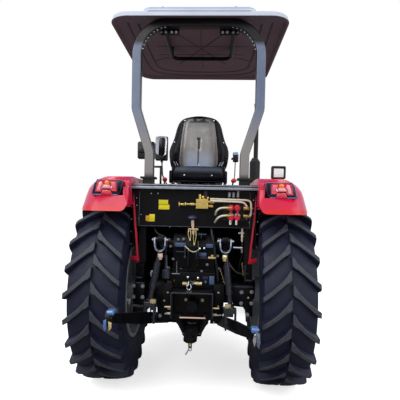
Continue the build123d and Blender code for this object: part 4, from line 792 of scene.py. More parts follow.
class BuildFenders(bpy.types.Operator):
    """Fenders with their pressed flare, and the slim braces that carry them"""
    bl_idname = "tractor.fenders"
    bl_label = "Fenders"

    def execute(self, context):
        for side, sign in SIDES:
            self.fender(side, sign)
        low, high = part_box("fender_braces")
        # from the outer edge inward, from the foot upward; None stands for the brace's top
        brace = ((0.015, None), (0.002, None), (0.044, 0.072), (0.002, 0.072), (0.002, 0.048), (0.046, 0.034),
                 (0.064, 0.034), (0.058, 0.072))
        arms = [upright([(sign * (high.x - x), high.z if z is None else low.z + z) for x, z in brace], 0.030,
                        low.y + 0.004) for sign in (-1, 1)]
        braces = settle(softened(joined(*arms), 0.003), "fender_brace_arms", "red_enamel", "red_paint")
        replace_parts(braces, "fender_braces")
        bolts("fender_wall_bolts", [(sign * (high.x - 0.004), low.y + 0.003, low.z + z) for sign in (-1, 1)
                                    for z in (0.075, 0.16, 0.25, 0.34, 0.43)], 0.008, 0.005, washer=False)
        return {"FINISHED"}

    def fender(self, side, sign):
        """One fender: its CAD node pressed inward at the crest, flared and rounded at the rear hem."""
        node = f"fender_{side}"
        low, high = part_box(node)
        crest, hem = high.z, high.z - HEM_DROP
        shoulder_x, outer_span, shoulder_drop = 0.50, 0.26, 0.11
        crest_pull, hem_flare, flare_from_y, flare_run = 0.034, 0.026, -1.10, 0.30
        piece = twin(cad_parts[node])
        piece.data.materials.clear()
        in_edit(piece, lambda: bpy.ops.mesh.remove_doubles(threshold=1e-5))
        for vertex in piece.data.vertices:
            x, y, z = vertex.co
            outer = max(0.0, (abs(x) - shoulder_x) / outer_span)
            rearward = clamp((flare_from_y - y) / flare_run)
            upper = max(0.0, (z - crest + 0.10) / 0.10)
            lower = max(0.0, min(1.2, (crest - shoulder_drop - z) / (crest - shoulder_drop - hem)))
            shift = -crest_pull * upper ** 1.5 * outer ** 1.2 + hem_flare * lower * rearward * min(1.0, outer)
            vertex.co.x = x + sign * shift
        inner_reach, outer_reach = 0.30, 0.55  # how far forward the two hem corners are rounded
        for reach in (inner_reach, outer_reach):
            cut(piece, lambda c, n: True, (0, low.y + reach, 0), (0, 1, 0))
        rim = [abs(v.co.x) for v in piece.data.vertices if v.co.y < low.y + 0.28 and v.co.z < hem + 0.03]
        outer_x, inner_x = max(rim), min(rim)
        cut(piece, lambda c, n: c.y < low.y + outer_reach and abs(c.x) < inner_x + 0.03,
            (0, low.y + 0.06, hem + 0.012), Vector((0, 0.20, -0.92)).normalized(), clear=True)
        for corner_x, way, rounding, reach in ((outer_x, 1, 0.040, outer_reach),
                                               (inner_x, -1, 0.050, inner_reach)):
            middle = Vector((sign * (corner_x - way * rounding), 0, hem + rounding))
            for turn in (10, 28, 46, 64, 80):
                turn = math.radians(turn)
                normal = Vector((sign * way * math.cos(turn), 0, -math.sin(turn)))
                cut(piece, lambda c, n: c.y < low.y + reach and c.z < hem + 0.30, middle + normal * rounding,
                    normal, clear=True)
        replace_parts(settle(piece, f"{node}_shell", "fender_enamel", "red_paint", 40), node)
        # a flange inside the inner wall's thickness, above the deck
        flange = [(0.4452, 0.10), (0.4466, 0.10), (0.4466, 0.006), (0.4452, 0.006)]
        wall = upright([(sign * x, crest - drop) for x, drop in flange], 0.785, low.y + 0.17)
        settle(wall, f"fender_inner_flange_{side}", "red_enamel", "red_paint")


# ---- The driver's seat ----

# The seat back's outline: (share of its height, half width).
SEAT_OUTLINE = [(0.0, 0.222), (0.05, 0.236), (0.14, 0.246), (0.25, 0.252), (0.34, 0.252), (0.42, 0.243),
                (0.50, 0.226), (0.58, 0.212), (0.68, 0.200), (0.77, 0.190), (0.85, 0.176), (0.90, 0.160),
                (0.940, 0.140), (0.965, 0.118), (0.983, 0.092), (0.995, 0.058), (1.0, 0.028)]
# The polished middle of the seat's back shell, the same way.
SEAT_MIDDLE = [(0.0, 0.128), (0.04, 0.150), (0.10, 0.163), (0.20, 0.165), (0.40, 0.158), (0.70, 0.142),
               (0.86, 0.130), (0.93, 0.108), (0.965, 0.080), (1.0, 0.018)]
SEAT_BASE = [(0.0, 0.204), (0.12, 0.222), (0.35, 0.234), (0.75, 0.234), (1.0, 0.220)]


def inflated(piece, sizes):
    """Fills a cushion with air as cloth, keeps each point near its start, and smooths it."""
    modified(piece, "REMESH", mode="VOXEL", voxel_size=sizes.voxel)
    before = [v.co.copy() for v in piece.data.vertices]
    cloth = piece.modifiers.new("air", "CLOTH")
    cloth.settings.use_pressure = True
    cloth.settings.uniform_pressure_force = sizes.pressure
    cloth.settings.effector_weights.gravity = 0
    cloth.settings.quality = 5
    cloth.collision_settings.use_collision = False
    for step in range(1, 21):
        bpy.context.scene.frame_set(step)
    only(piece)
    bpy.ops.object.modifier_apply(modifier=cloth.name)
    bpy.context.scene.frame_set(1)
    for vertex, home in zip(piece.data.vertices, before):
        move = vertex.co - home
        if move.length > sizes.swell:
            vertex.co = home + move.normalized() * sizes.swell
    return modified(piece, "SMOOTH", iterations=3)


def grooved(piece, distance_to_seam, depth, width):
    """Presses a sewn seam into a cushion where a distance function comes near zero."""
    piece.data.update()
    normals = [v.normal.copy() for v in piece.data.vertices]
    for vertex, normal in zip(piece.data.vertices, normals):
        gap = distance_to_seam(vertex.co)
        if gap is not None and abs(gap) < width:
            vertex.co -= normal * depth * (0.5 + 0.5 * math.cos(math.pi * gap / width))


def fitted(piece, low, high):
    """Scales a cushion's vertices so that it just fills its box."""
    points = [v.co for v in piece.data.vertices]
    here_low = [min(c[k] for c in points) for k in range(3)]
    here_high = [max(c[k] for c in points) for k in range(3)]
    for vertex in piece.data.vertices:
        vertex.co = [low[k] + (vertex.co[k] - here_low[k]) * (high[k] - low[k]) / (here_high[k] - here_low[k])
                     for k in range(3)]


def stuffed(node, share, bevel, reshape, seams, sizes):
    """A sewn cushion in its CAD node's box: a block reshaped, eased, inflated, fitted and grooved."""
    low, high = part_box(node)
    piece = start("cube", size=1, location=(low + high) / 2)
    piece.scale = (high - low) * share
    in_edit(applied(piece), lambda: bpy.ops.mesh.subdivide(number_cuts=7))
    for vertex in piece.data.vertices:
        reshape(vertex.co)
    softened(piece, bevel, 3, 50)
    fitted(inflated(piece, sizes), low, high)
    for seam in seams:
        grooved(piece, *seam)
    settle(piece, node + "_cover", "seat_vinyl", "seat_vinyl", angle=None)
    only(piece)
    bpy.ops.object.shade_smooth()
    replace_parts(piece, node)


def seat_cushion(sizes):
    """The cushion: hollowed between two bolsters, narrower at the back and rolled down in front."""
    low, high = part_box("seat_cushion")
    half, level = (high.x - low.x) / 2, (low.z + high.z) / 2

    def reshape(co):
        side = abs(co.x) / (half * 0.9)
        if co.z > level:
            co.z += 0.016 * max(0.0, side - 0.62) / 0.38 - 0.010
        front = (co.y - low.y) / (high.y - low.y)
        co.x *= 0.90 + 0.10 * min(1.0, front * 1.6)
        if front > 0.8 and co.z > level:
            co.z -= 0.030 * (front - 0.8) / 0.2

    seams = [(lambda c: abs(c.x) - half * 0.66 if c.z > low.z + 0.05 else None, 0.007, 0.010),
             (lambda c: c.z - (low.z + 0.042), 0.005, 0.007)]
    stuffed("seat_cushion", 0.90, 0.018, reshape, seams, sizes)


def seat_back_pad(sizes):
    """The back pad: inside the shell's outline, dished in front, with three cross seams."""
    low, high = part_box("seat_back")
    half, tall, middle_y = (high.x - low.x) / 2, high.z - low.z, (low.y + high.y) / 2

    def reshape(co):
        share = clamp((co.z - low.z) / tall)
        side = min(1.0, abs(co.x) / (half * 0.92))
        co.x = math.copysign(side * 0.90 * along(SEAT_OUTLINE, min(0.82, 0.10 + 0.88 * share)), co.x)
        co.z -= 0.24 * tall * share ** 3 * side ** 3.5
        if co.y > middle_y:
            co.y -= 0.016 * (1 - min(1.0, abs(co.x) / (half * 0.7)))

    seams = [(lambda c, s=low.z + level * tall: c.z - s
              if c.y > middle_y and abs(c.x) < half * 0.62 else None,
              0.006, 0.010) for level in (0.30, 0.52, 0.74)]
    stuffed("seat_back", 0.92, 0.016, reshape, seams, sizes)


def seat_base_cover():
    """The seat's base: a full, domed cover behind and under the cushion, its top edge arched."""
    low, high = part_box("seat_cushion")
    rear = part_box("seat_shell")[0].y
    cover = start("grid", x_subdivisions=40, y_subdivisions=24, size=2)
    for vertex in cover.data.vertices:
        u, v = vertex.co.x, (vertex.co.y + 1) / 2
        z = low.z + v * (high.z - low.z + 0.056) - 0.026 * u * u * v
        y = rear + 0.002 + 0.046 * max(0.0, (v - 0.42) / 0.58) ** 1.7 + 0.030 * abs(u) ** 5
        y += 0.014 * max(0.0, (0.16 - v) / 0.16) ** 2
        vertex.co = (u * along(SEAT_BASE, v), y, z)
    in_edit(cover, lambda: bpy.ops.mesh.normals_make_consistent(inside=False))
    if cover.data.polygons[len(cover.data.polygons) // 2].normal.y > 0:
        cover.data.flip_normals()
    modified(cover, "SOLIDIFY", thickness=0.008, offset=-1)
    grooved(cover, lambda c: c.z - (low.z + 0.020) if c.y < rear + 0.05 else None, 0.004, 0.004)
    settle(cover, "seat_base_cover", "base_vinyl", "seat_vinyl", 50)


def back_shell_point(u, v, rear, foot, tall):
    """One point of the moulded back: across (-1 to 1) and up (0 to 1) as X, Y and Z."""
    flat_share = 0.60  # the share of the half width that the raised middle takes
    v = 1 - (1 - v) ** 1.5
    side, wide, mid = abs(u), 1.045 * along(SEAT_OUTLINE, v), along(SEAT_MIDDLE, v)
    ear = max(0.0, (side - flat_share) / (1 - flat_share))
    x = mid * side / flat_share
    if side >= flat_share:
        x = mid + (wide - mid) * (side - flat_share) / (1 - flat_share)
    lean = 0.030 * v * v
    wrap = 0.050 * ear ** 2.2 * (1.2 - 0.5 * v)
    bulge = -0.016 * math.sin(math.pi * min(1.0, ear * 1.15)) * max(0.0, 1 - abs(v - 0.30) / 0.28)
    step = 0.0 if side > flat_share + 0.02 else min(1.0, (flat_share + 0.02 - side) / 0.16)
    step = -0.007 * step * step * (3 - 2 * step) * min(1.0, v / 0.05) * min(1.0, (1.0 - v) / 0.10)
    crown = -0.016 * (1 - min(1.0, x / 0.2) ** 2) * math.sin(math.pi * min(1.0, v * 1.1))
    top_roll = 0.030 * max(0.0, (v - 0.92) / 0.08) ** 2
    keyhole = 0.0
    if 0.06 < v < 0.58:
        half = 0.006 + 0.016 * max(0.0, (v - 0.26) / 0.32)
        ends = min(1.0, (0.58 - v) / 0.03) * min(1.0, (v - 0.06) / 0.05)
        keyhole = 0.014 * max(0.0, 1 - (x / half) ** 2) * ends
    y = rear + 0.026 + lean + wrap + bulge + step + crown + top_roll + keyhole
    return math.copysign(x, u), y, foot + v * tall


def seat_back_shell():
    """The seat's moulded back shell, rounded and dished, with its pan, side covers, painted highlights along
    its slots and rivets.
    """
    low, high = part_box("seat_shell")
    foot, rear = low.z + 0.112, low.y
    tall = high.z - foot
    shell = start("grid", x_subdivisions=56, y_subdivisions=60, size=2)
    for vertex in shell.data.vertices:
        vertex.co = back_shell_point(vertex.co.x, (vertex.co.y + 1) / 2, rear, foot, tall)
    in_edit(shell, lambda: bpy.ops.mesh.normals_make_consistent(inside=False))
    if shell.data.polygons[0].normal.y > 0:
        shell.data.flip_normals()
    modified(shell, "SOLIDIFY", thickness=0.014, offset=-1)
    for finish in ("seat_moulding", "seat_middle", "seat_groove"):
        shell.data.materials.append(finish_of(finish))
    for face in shell.data.polygons:
        share = (face.center.z - foot) / tall
        inside = abs(face.center.x) < along(SEAT_MIDDLE, clamp(share)) * 1.005 and 0.02 < share < 0.94
        face.material_index = 1 if inside and face.normal.y < -0.2 else 0
        half = 0.006 + 0.014 * max(0.0, (share - 0.26) / 0.32)
        if inside and 0.08 < share < 0.575 and abs(face.center.x + 0.002) < 0.62 * half:
            face.material_index = 2
    modified(shell, "SUBSURF", levels=1, render_levels=1)
    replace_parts(settle(shell, "seat_back_shell", (), "black_plastic", 50), "seat_shell")

    seat_low, seat_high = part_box("seat_cushion")
    pan_half, cover_x = 0.215, 0.238
    pan = [rounded_box((-pan_half, rear, seat_low.z - 0.012), (pan_half, seat_high.y + 0.01, seat_low.z),
                       0.004)]
    blocks, slots, places = [], [], []
    for sign in (-1, 1):
        pan.append(rounded_box((sign * pan_half - 0.012, rear + 0.020, seat_low.z - 0.010),
                               (sign * pan_half + 0.012, rear + 0.034, foot + 0.03), 0.004))
        blocks.append(rounded_box((sign * cover_x - 0.014, rear + 0.005, seat_low.z - 0.022),
                                  (sign * cover_x + 0.012, rear + 0.30, seat_low.z + 0.088), 0.012, 4))
        slots += [shaft((sign * x, rear + 0.022, foot + 0.030),
                        (sign * (x + 0.020), rear + 0.026, foot + 0.066),
                        0.0035, sides=12) for x in (0.176, 0.196)]
    settle(joined(*pan), "seat_pan", "seat_moulding", "black_plastic")
    settle(joined(*blocks), "seat_side_covers", "seat_moulding", "black_plastic")
    # painted highlights: grey bars along the slots' edges
    settle(joined(*slots), "seat_slot_edges", "worn_edge", "black_plastic")
    rivets = ((0.126, 0.034, foot + 0.895 * tall, 0), (0.212, 0.046, foot + 0.50 * tall, 0),
              (0.118, 0.001, seat_low.z + 0.048, 0.1))
    for x, depth, z, rise in rivets:
        for sign in (-1, 1):
            places.append(facing((sign * x, rear + depth, z), (0, -1, rise)))
    studs = copies(turned([(0, 0.0), (0, 0.0065), (0.0022, 0.005), (0.003, 0.0)], (0, 0, 0), (0, 0, 1), 20),
                   places)
    settle(studs, "seat_rivets", "chrome", "zinc_steel")


class BuildSeat(bpy.types.Operator):
    """The seat's cushion and back pad, inflated as cloth and sewn, and its moulded shell with its base"""
    bl_idname = "tractor.seat"
    bl_label = "Driver's seat"

    def execute(self, context):
        seat_cushion(context.scene.tractor_seat)
        seat_back_pad(context.scene.tractor_seat)
        seat_back_shell()
        seat_base_cover()
        return {"FINISHED"}


# ---- Lamps ----

def tail_lamp(side, sign, low, high):
    """One tail lamp: black bezel, faceted red lens with a notch, amber dome and a small red reflector."""
    width, height = high.x - LAMP_INNER_X, high.z - low.z

    def layer(name, finish, slot, inward, depth, points, inset=None, edge=0.0015):
        """One layer, outlined in shares of the lamp's width and height, just inward of its face."""
        places = [(sign * (LAMP_INNER_X + u * width), low.z + v * height) for u, v in points]
        piece = upright(places, -depth, low.y + inward + depth)
        if inset:
            stepped(piece, REARWARD, inset)
        return settle(softened(piece, edge), f"{name}_{side}", finish, slot)

    bezel = layer("tail_bezel", "bezel_navy", "black_plastic", 0.012, high.y - low.y + 0.026,
                  [(0.0, 0.90), (0.06, 0.97), (0.84, 1.0), (0.90, 0.80), (1.0, 0.12), (0.97, 0.0),
                   (0.17, 0.0), (0.11, 0.10)], (0.006, 0.003))
    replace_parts(bezel, "tail_lights")
    layer("tail_strip", "dark_glass", "black_plastic", 0.006, 0.008,
          [(0.06, 0.86), (0.165, 0.90), (0.165, 0.22), (0.12, 0.22)])
    layer("tail_lens", "red_lens", "lamp_red", 0.003, 0.012,
          [(0.20, 0.86), (0.30, 0.93), (0.78, 0.95), (0.83, 0.78), (0.89, 0.20), (0.70, 0.20), (0.655, 0.40),
           (0.40, 0.40), (0.355, 0.24), (0.20, 0.24)], (0.007, -0.002))
    layer("tail_reflector", "red_lens", "lamp_red", 0.002, 0.012,
          [(0.405, 0.33), (0.64, 0.33), (0.70, 0.03), (0.34, 0.03)], (0.006, 0.002))
    # painted reflections: lavender strips along the bezel's rolled edges
    edges = ([(0.90, 0.80), (0.93, 0.72), (1.01, 0.12), (0.985, 0.10)],
             [(0.17, 0.0), (0.97, 0.0), (0.96, 0.055), (0.18, 0.055)],
             [(0.06, 0.95), (0.84, 0.98), (0.84, 1.02), (0.06, 0.99)])
    for number, points in enumerate(edges):
        layer(f"tail_bezel_edge_{number}", "bezel_edge", "black_plastic", 0.007, 0.008, points, edge=0.001)
    # the glint facet is a painted highlight on the lens
    facets = (("pink", "pink_lens", [(0.24, 0.84), (0.40, 0.86), (0.35, 0.52), (0.24, 0.40)]),
              ("rose", "rose_lens", [(0.42, 0.64), (0.60, 0.66), (0.68, 0.48), (0.62, 0.45), (0.42, 0.45)]),
              ("wing", "rose_lens", [(0.66, 0.86), (0.76, 0.84), (0.83, 0.30), (0.74, 0.28)]),
              ("wedge", "pink_lens", [(0.62, 0.64), (0.67, 0.82), (0.70, 0.56)]),
              ("painted_glint", "clear_lens", [(0.37, 0.60), (0.40, 0.44), (0.385, 0.42), (0.33, 0.52)]))
    for name, finish, points in facets:
        layer(f"tail_facet_{name}", finish, "lamp_red", 0.0015, 0.006, points, edge=0.001)
    layer("tail_reflector_prism", "rose_lens", "lamp_red", 0.0005, 0.006,
          [(0.42, 0.29), (0.56, 0.30), (0.52, 0.06), (0.37, 0.07)], edge=0.001)
    dome = turned([(0, 0.0), (0, 0.017), (0.004, 0.016), (0.0065, 0.008), (0.007, 0.0)],
                  (sign * (LAMP_INNER_X + 0.51 * width), low.y + 0.006, low.z + 0.78 * height), REARWARD, 36)
    settle(dome, f"indicator_lens_{side}", "amber_lens", "lamp_red")


class BuildLamps(bpy.types.Operator):
    """Tail lamp lenses, the work lamp's glass and the headlamp glasses"""
    bl_idname = "tractor.lamps"
    bl_label = "Lamps"

    def execute(self, context):
        for side, sign in SIDES:
            tail_lamp(side, sign, *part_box("tail_lights"))
        low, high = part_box("work_light")
        centre, half_x, half_z = (low + high) / 2, 0.037, 0.033
        corners = [(centre.x + u * half_x, centre.z + v * half_z)
                   for u, v in ((-1, -1), (1, -1), (1, 1), (-1, 1))]
        glass = stepped(upright(corners, -0.003, low.y + 0.008), REARWARD, (0.006, 0.002))
        settle(softened(glass, 0.003, 3), "work_lamp_glass", "clear_lens", "lamp_lens")
        low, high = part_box("headlights")
        corners = [(high.x - 0.10, low.z + 0.014), (high.x - 0.016, low.z + 0.022),
                   (high.x - 0.012, high.z - 0.016), (high.x - 0.10, high.z - 0.022)]
        for side, sign in SIDES:
            glass = upright([(sign * x, z) for x, z in corners], 0.003, high.y + 0.0003)
            stepped(glass, (0, 1, 0), (0.007, 0.002))
            settle(softened(glass, 0.002), f"headlamp_glass_{side}", "clear_lens", "lamp_lens", body="hood")
        return {"FINISHED"}


# ---- Deck, hitch and axle details ----

def round_bars(*bars):
    """Round bars, each (start, end, radius), joined in one piece."""
    return joined(*[shaft(a, b, r, sides=20, bevel=min(0.0012, r * 0.25)) for a, b, r in bars])


def plates(*corners, radius=0.0015):
    """Plates with eased edges, each given by its two corners, joined in one piece."""
    return joined(*[rounded_box(a, b, radius) for a, b in corners])


def hex_bar(start_point, end_point, across):
    """A hexagonal bar or nut between two points."""
    bar = shaft(start_point, end_point, across / math.sqrt(3), sides=6, bevel=0)
    return softened(bar, across * 0.05, 1, 25)


def formed(name, finish, at, *runs, slot="zinc_steel"):
    """Formed wires and hoses, each (radius, sides, places), joined in one piece."""
    made = [swept([at(*place) for place in places], radius, sides) for radius, sides, places in runs]
    return settle(joined(*made), name, finish, slot, 60)


def deck_panel(at, half, lip, top):
    """The rear panel's pressed lips and beads, drawn as strips with painted reflections and highlights, its
    bolts and its blank labels.
    """
    # painted reflections: two strips along the lip, where its top edge mirrors the sky
    strips = [((-half, lip - out, top - foot), (half, lip + 0.004, top - crest))
              for out, foot, crest in ((0.002, 0.010, 0.003), (0.001, 0.036, 0.017))]
    settle(plates(*strips), "deck_lip_reflections", "worn_edge", "deck_black")
    # painted highlights: beads along the panel's upper corners and its foot
    rise, edge = 0.002, half - 0.046
    path = [(edge, -0.30), (edge, -0.12), (edge, -0.055), (edge - 0.012, -0.044), (edge - 0.10, -0.041)]
    beads = [swept([at(sign * x, z, rise) for x, z in path], 0.0035, 8) for sign in (-1, 1)]
    beads.append(swept([at(x, -0.302, rise) for x in (-0.40, 0.0, 0.40)], 0.003, 8))
    settle(joined(*beads), "deck_panel_bead_highlights", "edge_enamel", "deck_black")
    spots = [(-0.313, -0.068), (-0.264, -0.067), (-0.419, -0.102), (-0.417, -0.155), (-0.384, -0.221),
             (-0.402, -0.249), (0.418, -0.161), (0.422, -0.103), (0.375, -0.237), (-0.175, -0.306),
             (0.395, -0.262), (-0.424, -0.285), (0.424, -0.20)]
    bolts("deck_panel_bolts", [at(x, z) for x, z in spots], 0.0085, 0.004, washer=False)
    film = 0.0012
    labels = (("deck_blank_labels", "label_film",
               ((-0.258, -0.150, -0.190, -0.112), (-0.258, -0.181, -0.180, -0.146),
                                                   (-0.325, -0.274, -0.285, -0.217))),
              ("deck_worn_label", "amber_film", ((-0.351, -0.270, -0.324, -0.228),)))
    for name, finish, places in labels:
        made = plates(*[(at(x0, z0, film), at(x1, z1)) for x0, z0, x1, z1 in places], radius=0.0003)
        settle(made, name, finish, "zinc_steel")


def valve_parts(low, high, y):
    """The valve's turned handle, its fittings and its black relief valve."""
    knob = turned([(0, 0.0), (0, 0.006), (0.035, 0.006), (0.035, 0.010), (0.040, 0.012), (0.062, 0.0085),
                   (0.066, 0.019), (0.072, 0.021), (0.076, 0.017), (0.077, 0.0)],
                  (low.x + 0.030, y, low.z + 0.029), (-1, 0, 0), 28)
    settle(knob, "valve_handle", "yellow_zinc", "zinc_steel")
    nuts = ((0.064, high.z - 0.034, 0.064, high.z - 0.012, 0.024),
            (0.094, high.z - 0.034, 0.094, high.z - 0.018, 0.020),
            (0.112, low.z + 0.046, 0.142, low.z + 0.046, 0.022),
            (0.112, low.z + 0.018, 0.134, low.z + 0.018, 0.022))
    settle(joined(*[hex_bar((x0, y, z0), (x1, y, z1), across) for x0, z0, x1, z1, across in nuts]),
           "valve_fittings", "brass", "zinc_steel")
    relief_x = 0.079
    relief = joined(shaft((relief_x, y, high.z - 0.030), (relief_x, y, high.z + 0.014), 0.016),
                    shaft((relief_x, y, high.z + 0.010), (relief_x, y, high.z + 0.028), 0.022, 0.017))
    settle(relief, "relief_valve", "abs_black", "chassis_black")


def coupler_parts(face, top, valve_y):
    """The pipes from the valve to the couplers, and the couplers' collars, bodies, tethers and cups."""
    low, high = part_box("coupler_caps")
    middle, upper, lower, near = (low.x + high.x) / 2, high.z - 0.023, high.z - 0.077, low.y + 0.012
    runs = (
        [(0.112, valve_y - 0.010, top - 0.100), (0.20, valve_y - 0.014, top - 0.101),
         (0.33, valve_y - 0.014, top - 0.103), (0.398, valve_y - 0.014, top - 0.106),
         (0.403, valve_y - 0.014, top - 0.150), (0.401, valve_y - 0.014, top - 0.205),
         (0.392, near, lower - 0.002), (0.368, near, lower)],
        [(0.112, valve_y - 0.022, top - 0.114), (0.20, valve_y - 0.024, top - 0.115),
         (0.31, valve_y - 0.024, top - 0.117), (0.352, valve_y - 0.024, top - 0.121),
         (0.374, valve_y - 0.020, top - 0.150), (0.372, near, upper - 0.004)],
        [(0.240, near, upper + 0.002), (0.215, near, upper + 0.003), (0.180, near, upper - 0.002),
         (0.156, near + 0.006, upper - 0.022), (0.152, face - 0.004, upper - 0.050)],
        [(0.240, near, lower + 0.002), (0.212, near, lower + 0.002), (0.182, near, lower - 0.006),
         (0.160, near + 0.006, lower - 0.026), (0.150, face - 0.004, lower - 0.050)])
    pipes = joined(*[swept(points, 0.0072, 10) for points in runs])
    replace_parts(settle(pipes, "hydraulic_pipe_runs", "cream_enamel", "zinc_steel", 60), "hydraulic_pipes")
    collars = []
    for x, way in ((0.240, 1), (0.372, -1)):
        for z in (upper, lower):
            collars.append(hex_bar((x - way * 0.012, near, z), (x + way * 0.014, near, z), 0.026))
            collars.append(shaft((x + way * 0.010, near, z), (x + way * 0.026, near, z), 0.0145))
    settle(joined(*collars), "coupler_collars", "brass", "zinc_steel")
    spots = [(x, z) for x in (middle - 0.023, middle + 0.023) for z in (upper, lower)]
    settle(joined(*[shaft((x, face - 0.002, z), (x, near, z), 0.021) for x, z in spots]),
           "coupler_bodies", "zinc_steel", "zinc_steel")
    tabs = [swept([(x, low.y + 0.004, z - 0.018), (x + 0.006, low.y, z - 0.036),
                   (x - 0.004, low.y + 0.006, z - 0.048)],
                  0.003, 6) for x, z in spots]
    settle(joined(*tabs), "cap_tethers", "cap_vinyl", "zinc_steel", 60)
    cups = [shaft((x, low.y + 0.010, lower - 0.030), (x - 0.002, near, lower - 0.062), 0.009, 0.007)
            for x in (middle - 0.024, middle + 0.018)]
    settle(joined(*cups), "coupler_drain_cups", "clear_lens", "lamp_lens")


def hand_parts(face, top):
    """The levelling screw, the blue knob on its stem and shelf, and the linch pins on their ring."""
    x, y = 0.347, face + 0.010
    rod = turned([(0, 0.0), (0, 0.006)] + [(0.004 + 0.005 * k, 0.0058 + 0.0016 * (k % 2)) for k in range(21)]
                 + [(0.110, 0.005), (0.110, 0.0)], (x, y, top - 0.402), (0, 0, 1), 16)
    bar = joined(rod, hex_bar((x - 0.027, y, top - 0.341), (x + 0.013, y, top - 0.341), 0.011),
                 hex_bar((x, y, top - 0.372), (x, y, top - 0.358), 0.017))
    settle(bar, "levelling_screw", "cream_enamel", "zinc_steel")

    low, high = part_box("hydraulic_lift_housing")
    foot = Vector((-0.004, face - 0.026, high.z - 0.010))
    settle(plates(((-0.036, foot.y - 0.012, foot.z - 0.014), (0.032, low.y + 0.004, foot.z))),
           "knob_shelf", "chassis_enamel", "chassis_black")
    stem = turned([(0, 0.0), (0, 0.0085), (0.022, 0.0085), (0.024, 0.0065), (0.040, 0.0065), (0.042, 0.009),
                   (0.056, 0.009), (0.060, 0.0105), (0.110, 0.012), (0.110, 0.0)], foot, (-0.06, 0, 1), 24)
    settle(stem, "knob_stem", "pink_cream", "zinc_steel")
    cap = turned([(0, 0.0), (0, 0.014), (0.004, 0.024), (0.012, 0.034), (0.020, 0.0355), (0.028, 0.031),
                  (0.034, 0.020), (0.0365, 0.008), (0.037, 0.0)], foot + Vector((-0.0065, 0, 0.100)),
                 (-0.06, -0.1, 1), 40)
    settle(cap, "draft_knob", "knob_blue", "black_plastic")
    y, z, ring_x, ring_y = foot.y - 0.016, foot.z + 0.036, 0.0378, 0.010
    turns = [k * math.pi / 4 for k in range(8)]
    wires = [swept([(ring_x * math.cos(a) - 0.004, y + ring_y * math.sin(a), z + 0.006 * math.sin(2 * a))
                    for a in turns], 0.0024, 6, closed=True)]
    for x, drop, lean in ((-0.030, 0.072, 0.006), (0.010, 0.104, -0.004)):
        for shift in (-0.009, 0.009):
            wires.append(swept([(x + shift * 0.3, y, z), (x + shift, y - 0.004, z - drop * 0.25),
                                (x + shift + lean * 0.5, y - 0.004, z - drop * 0.7),
                                (x + shift * 0.25 + lean, y, z - drop)], 0.0026, 6))
        wires.append(shaft((x + lean, y, z - drop + 0.006), (x + lean, y, z - drop - 0.012), 0.0055))
    settle(joined(*wires), "linch_pins", "pale_brass", "zinc_steel", 60)


class DetailDeck(bpy.types.Operator):
    """The deck's pressed edges with painted reflections and highlights, bolts, blank labels, valve handle,
    pipes and hand knob
    """
    bl_idname = "tractor.deck_details"
    bl_label = "Deck details"

    def execute(self, context):
        low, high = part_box("rear_deck")
        valve_low, valve_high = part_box("valve_block")
        face, valve_y = valve_high.y, (valve_low.y + valve_high.y) / 2
        deck_panel(lambda x, z, out=0.0: Vector((x, face - out, high.z + z)), high.x, low.y, high.z)
        valve_parts(valve_low, valve_high, valve_y)
        coupler_parts(face, high.z, valve_y)
        hand_parts(face, high.z)
        return {"FINISHED"}


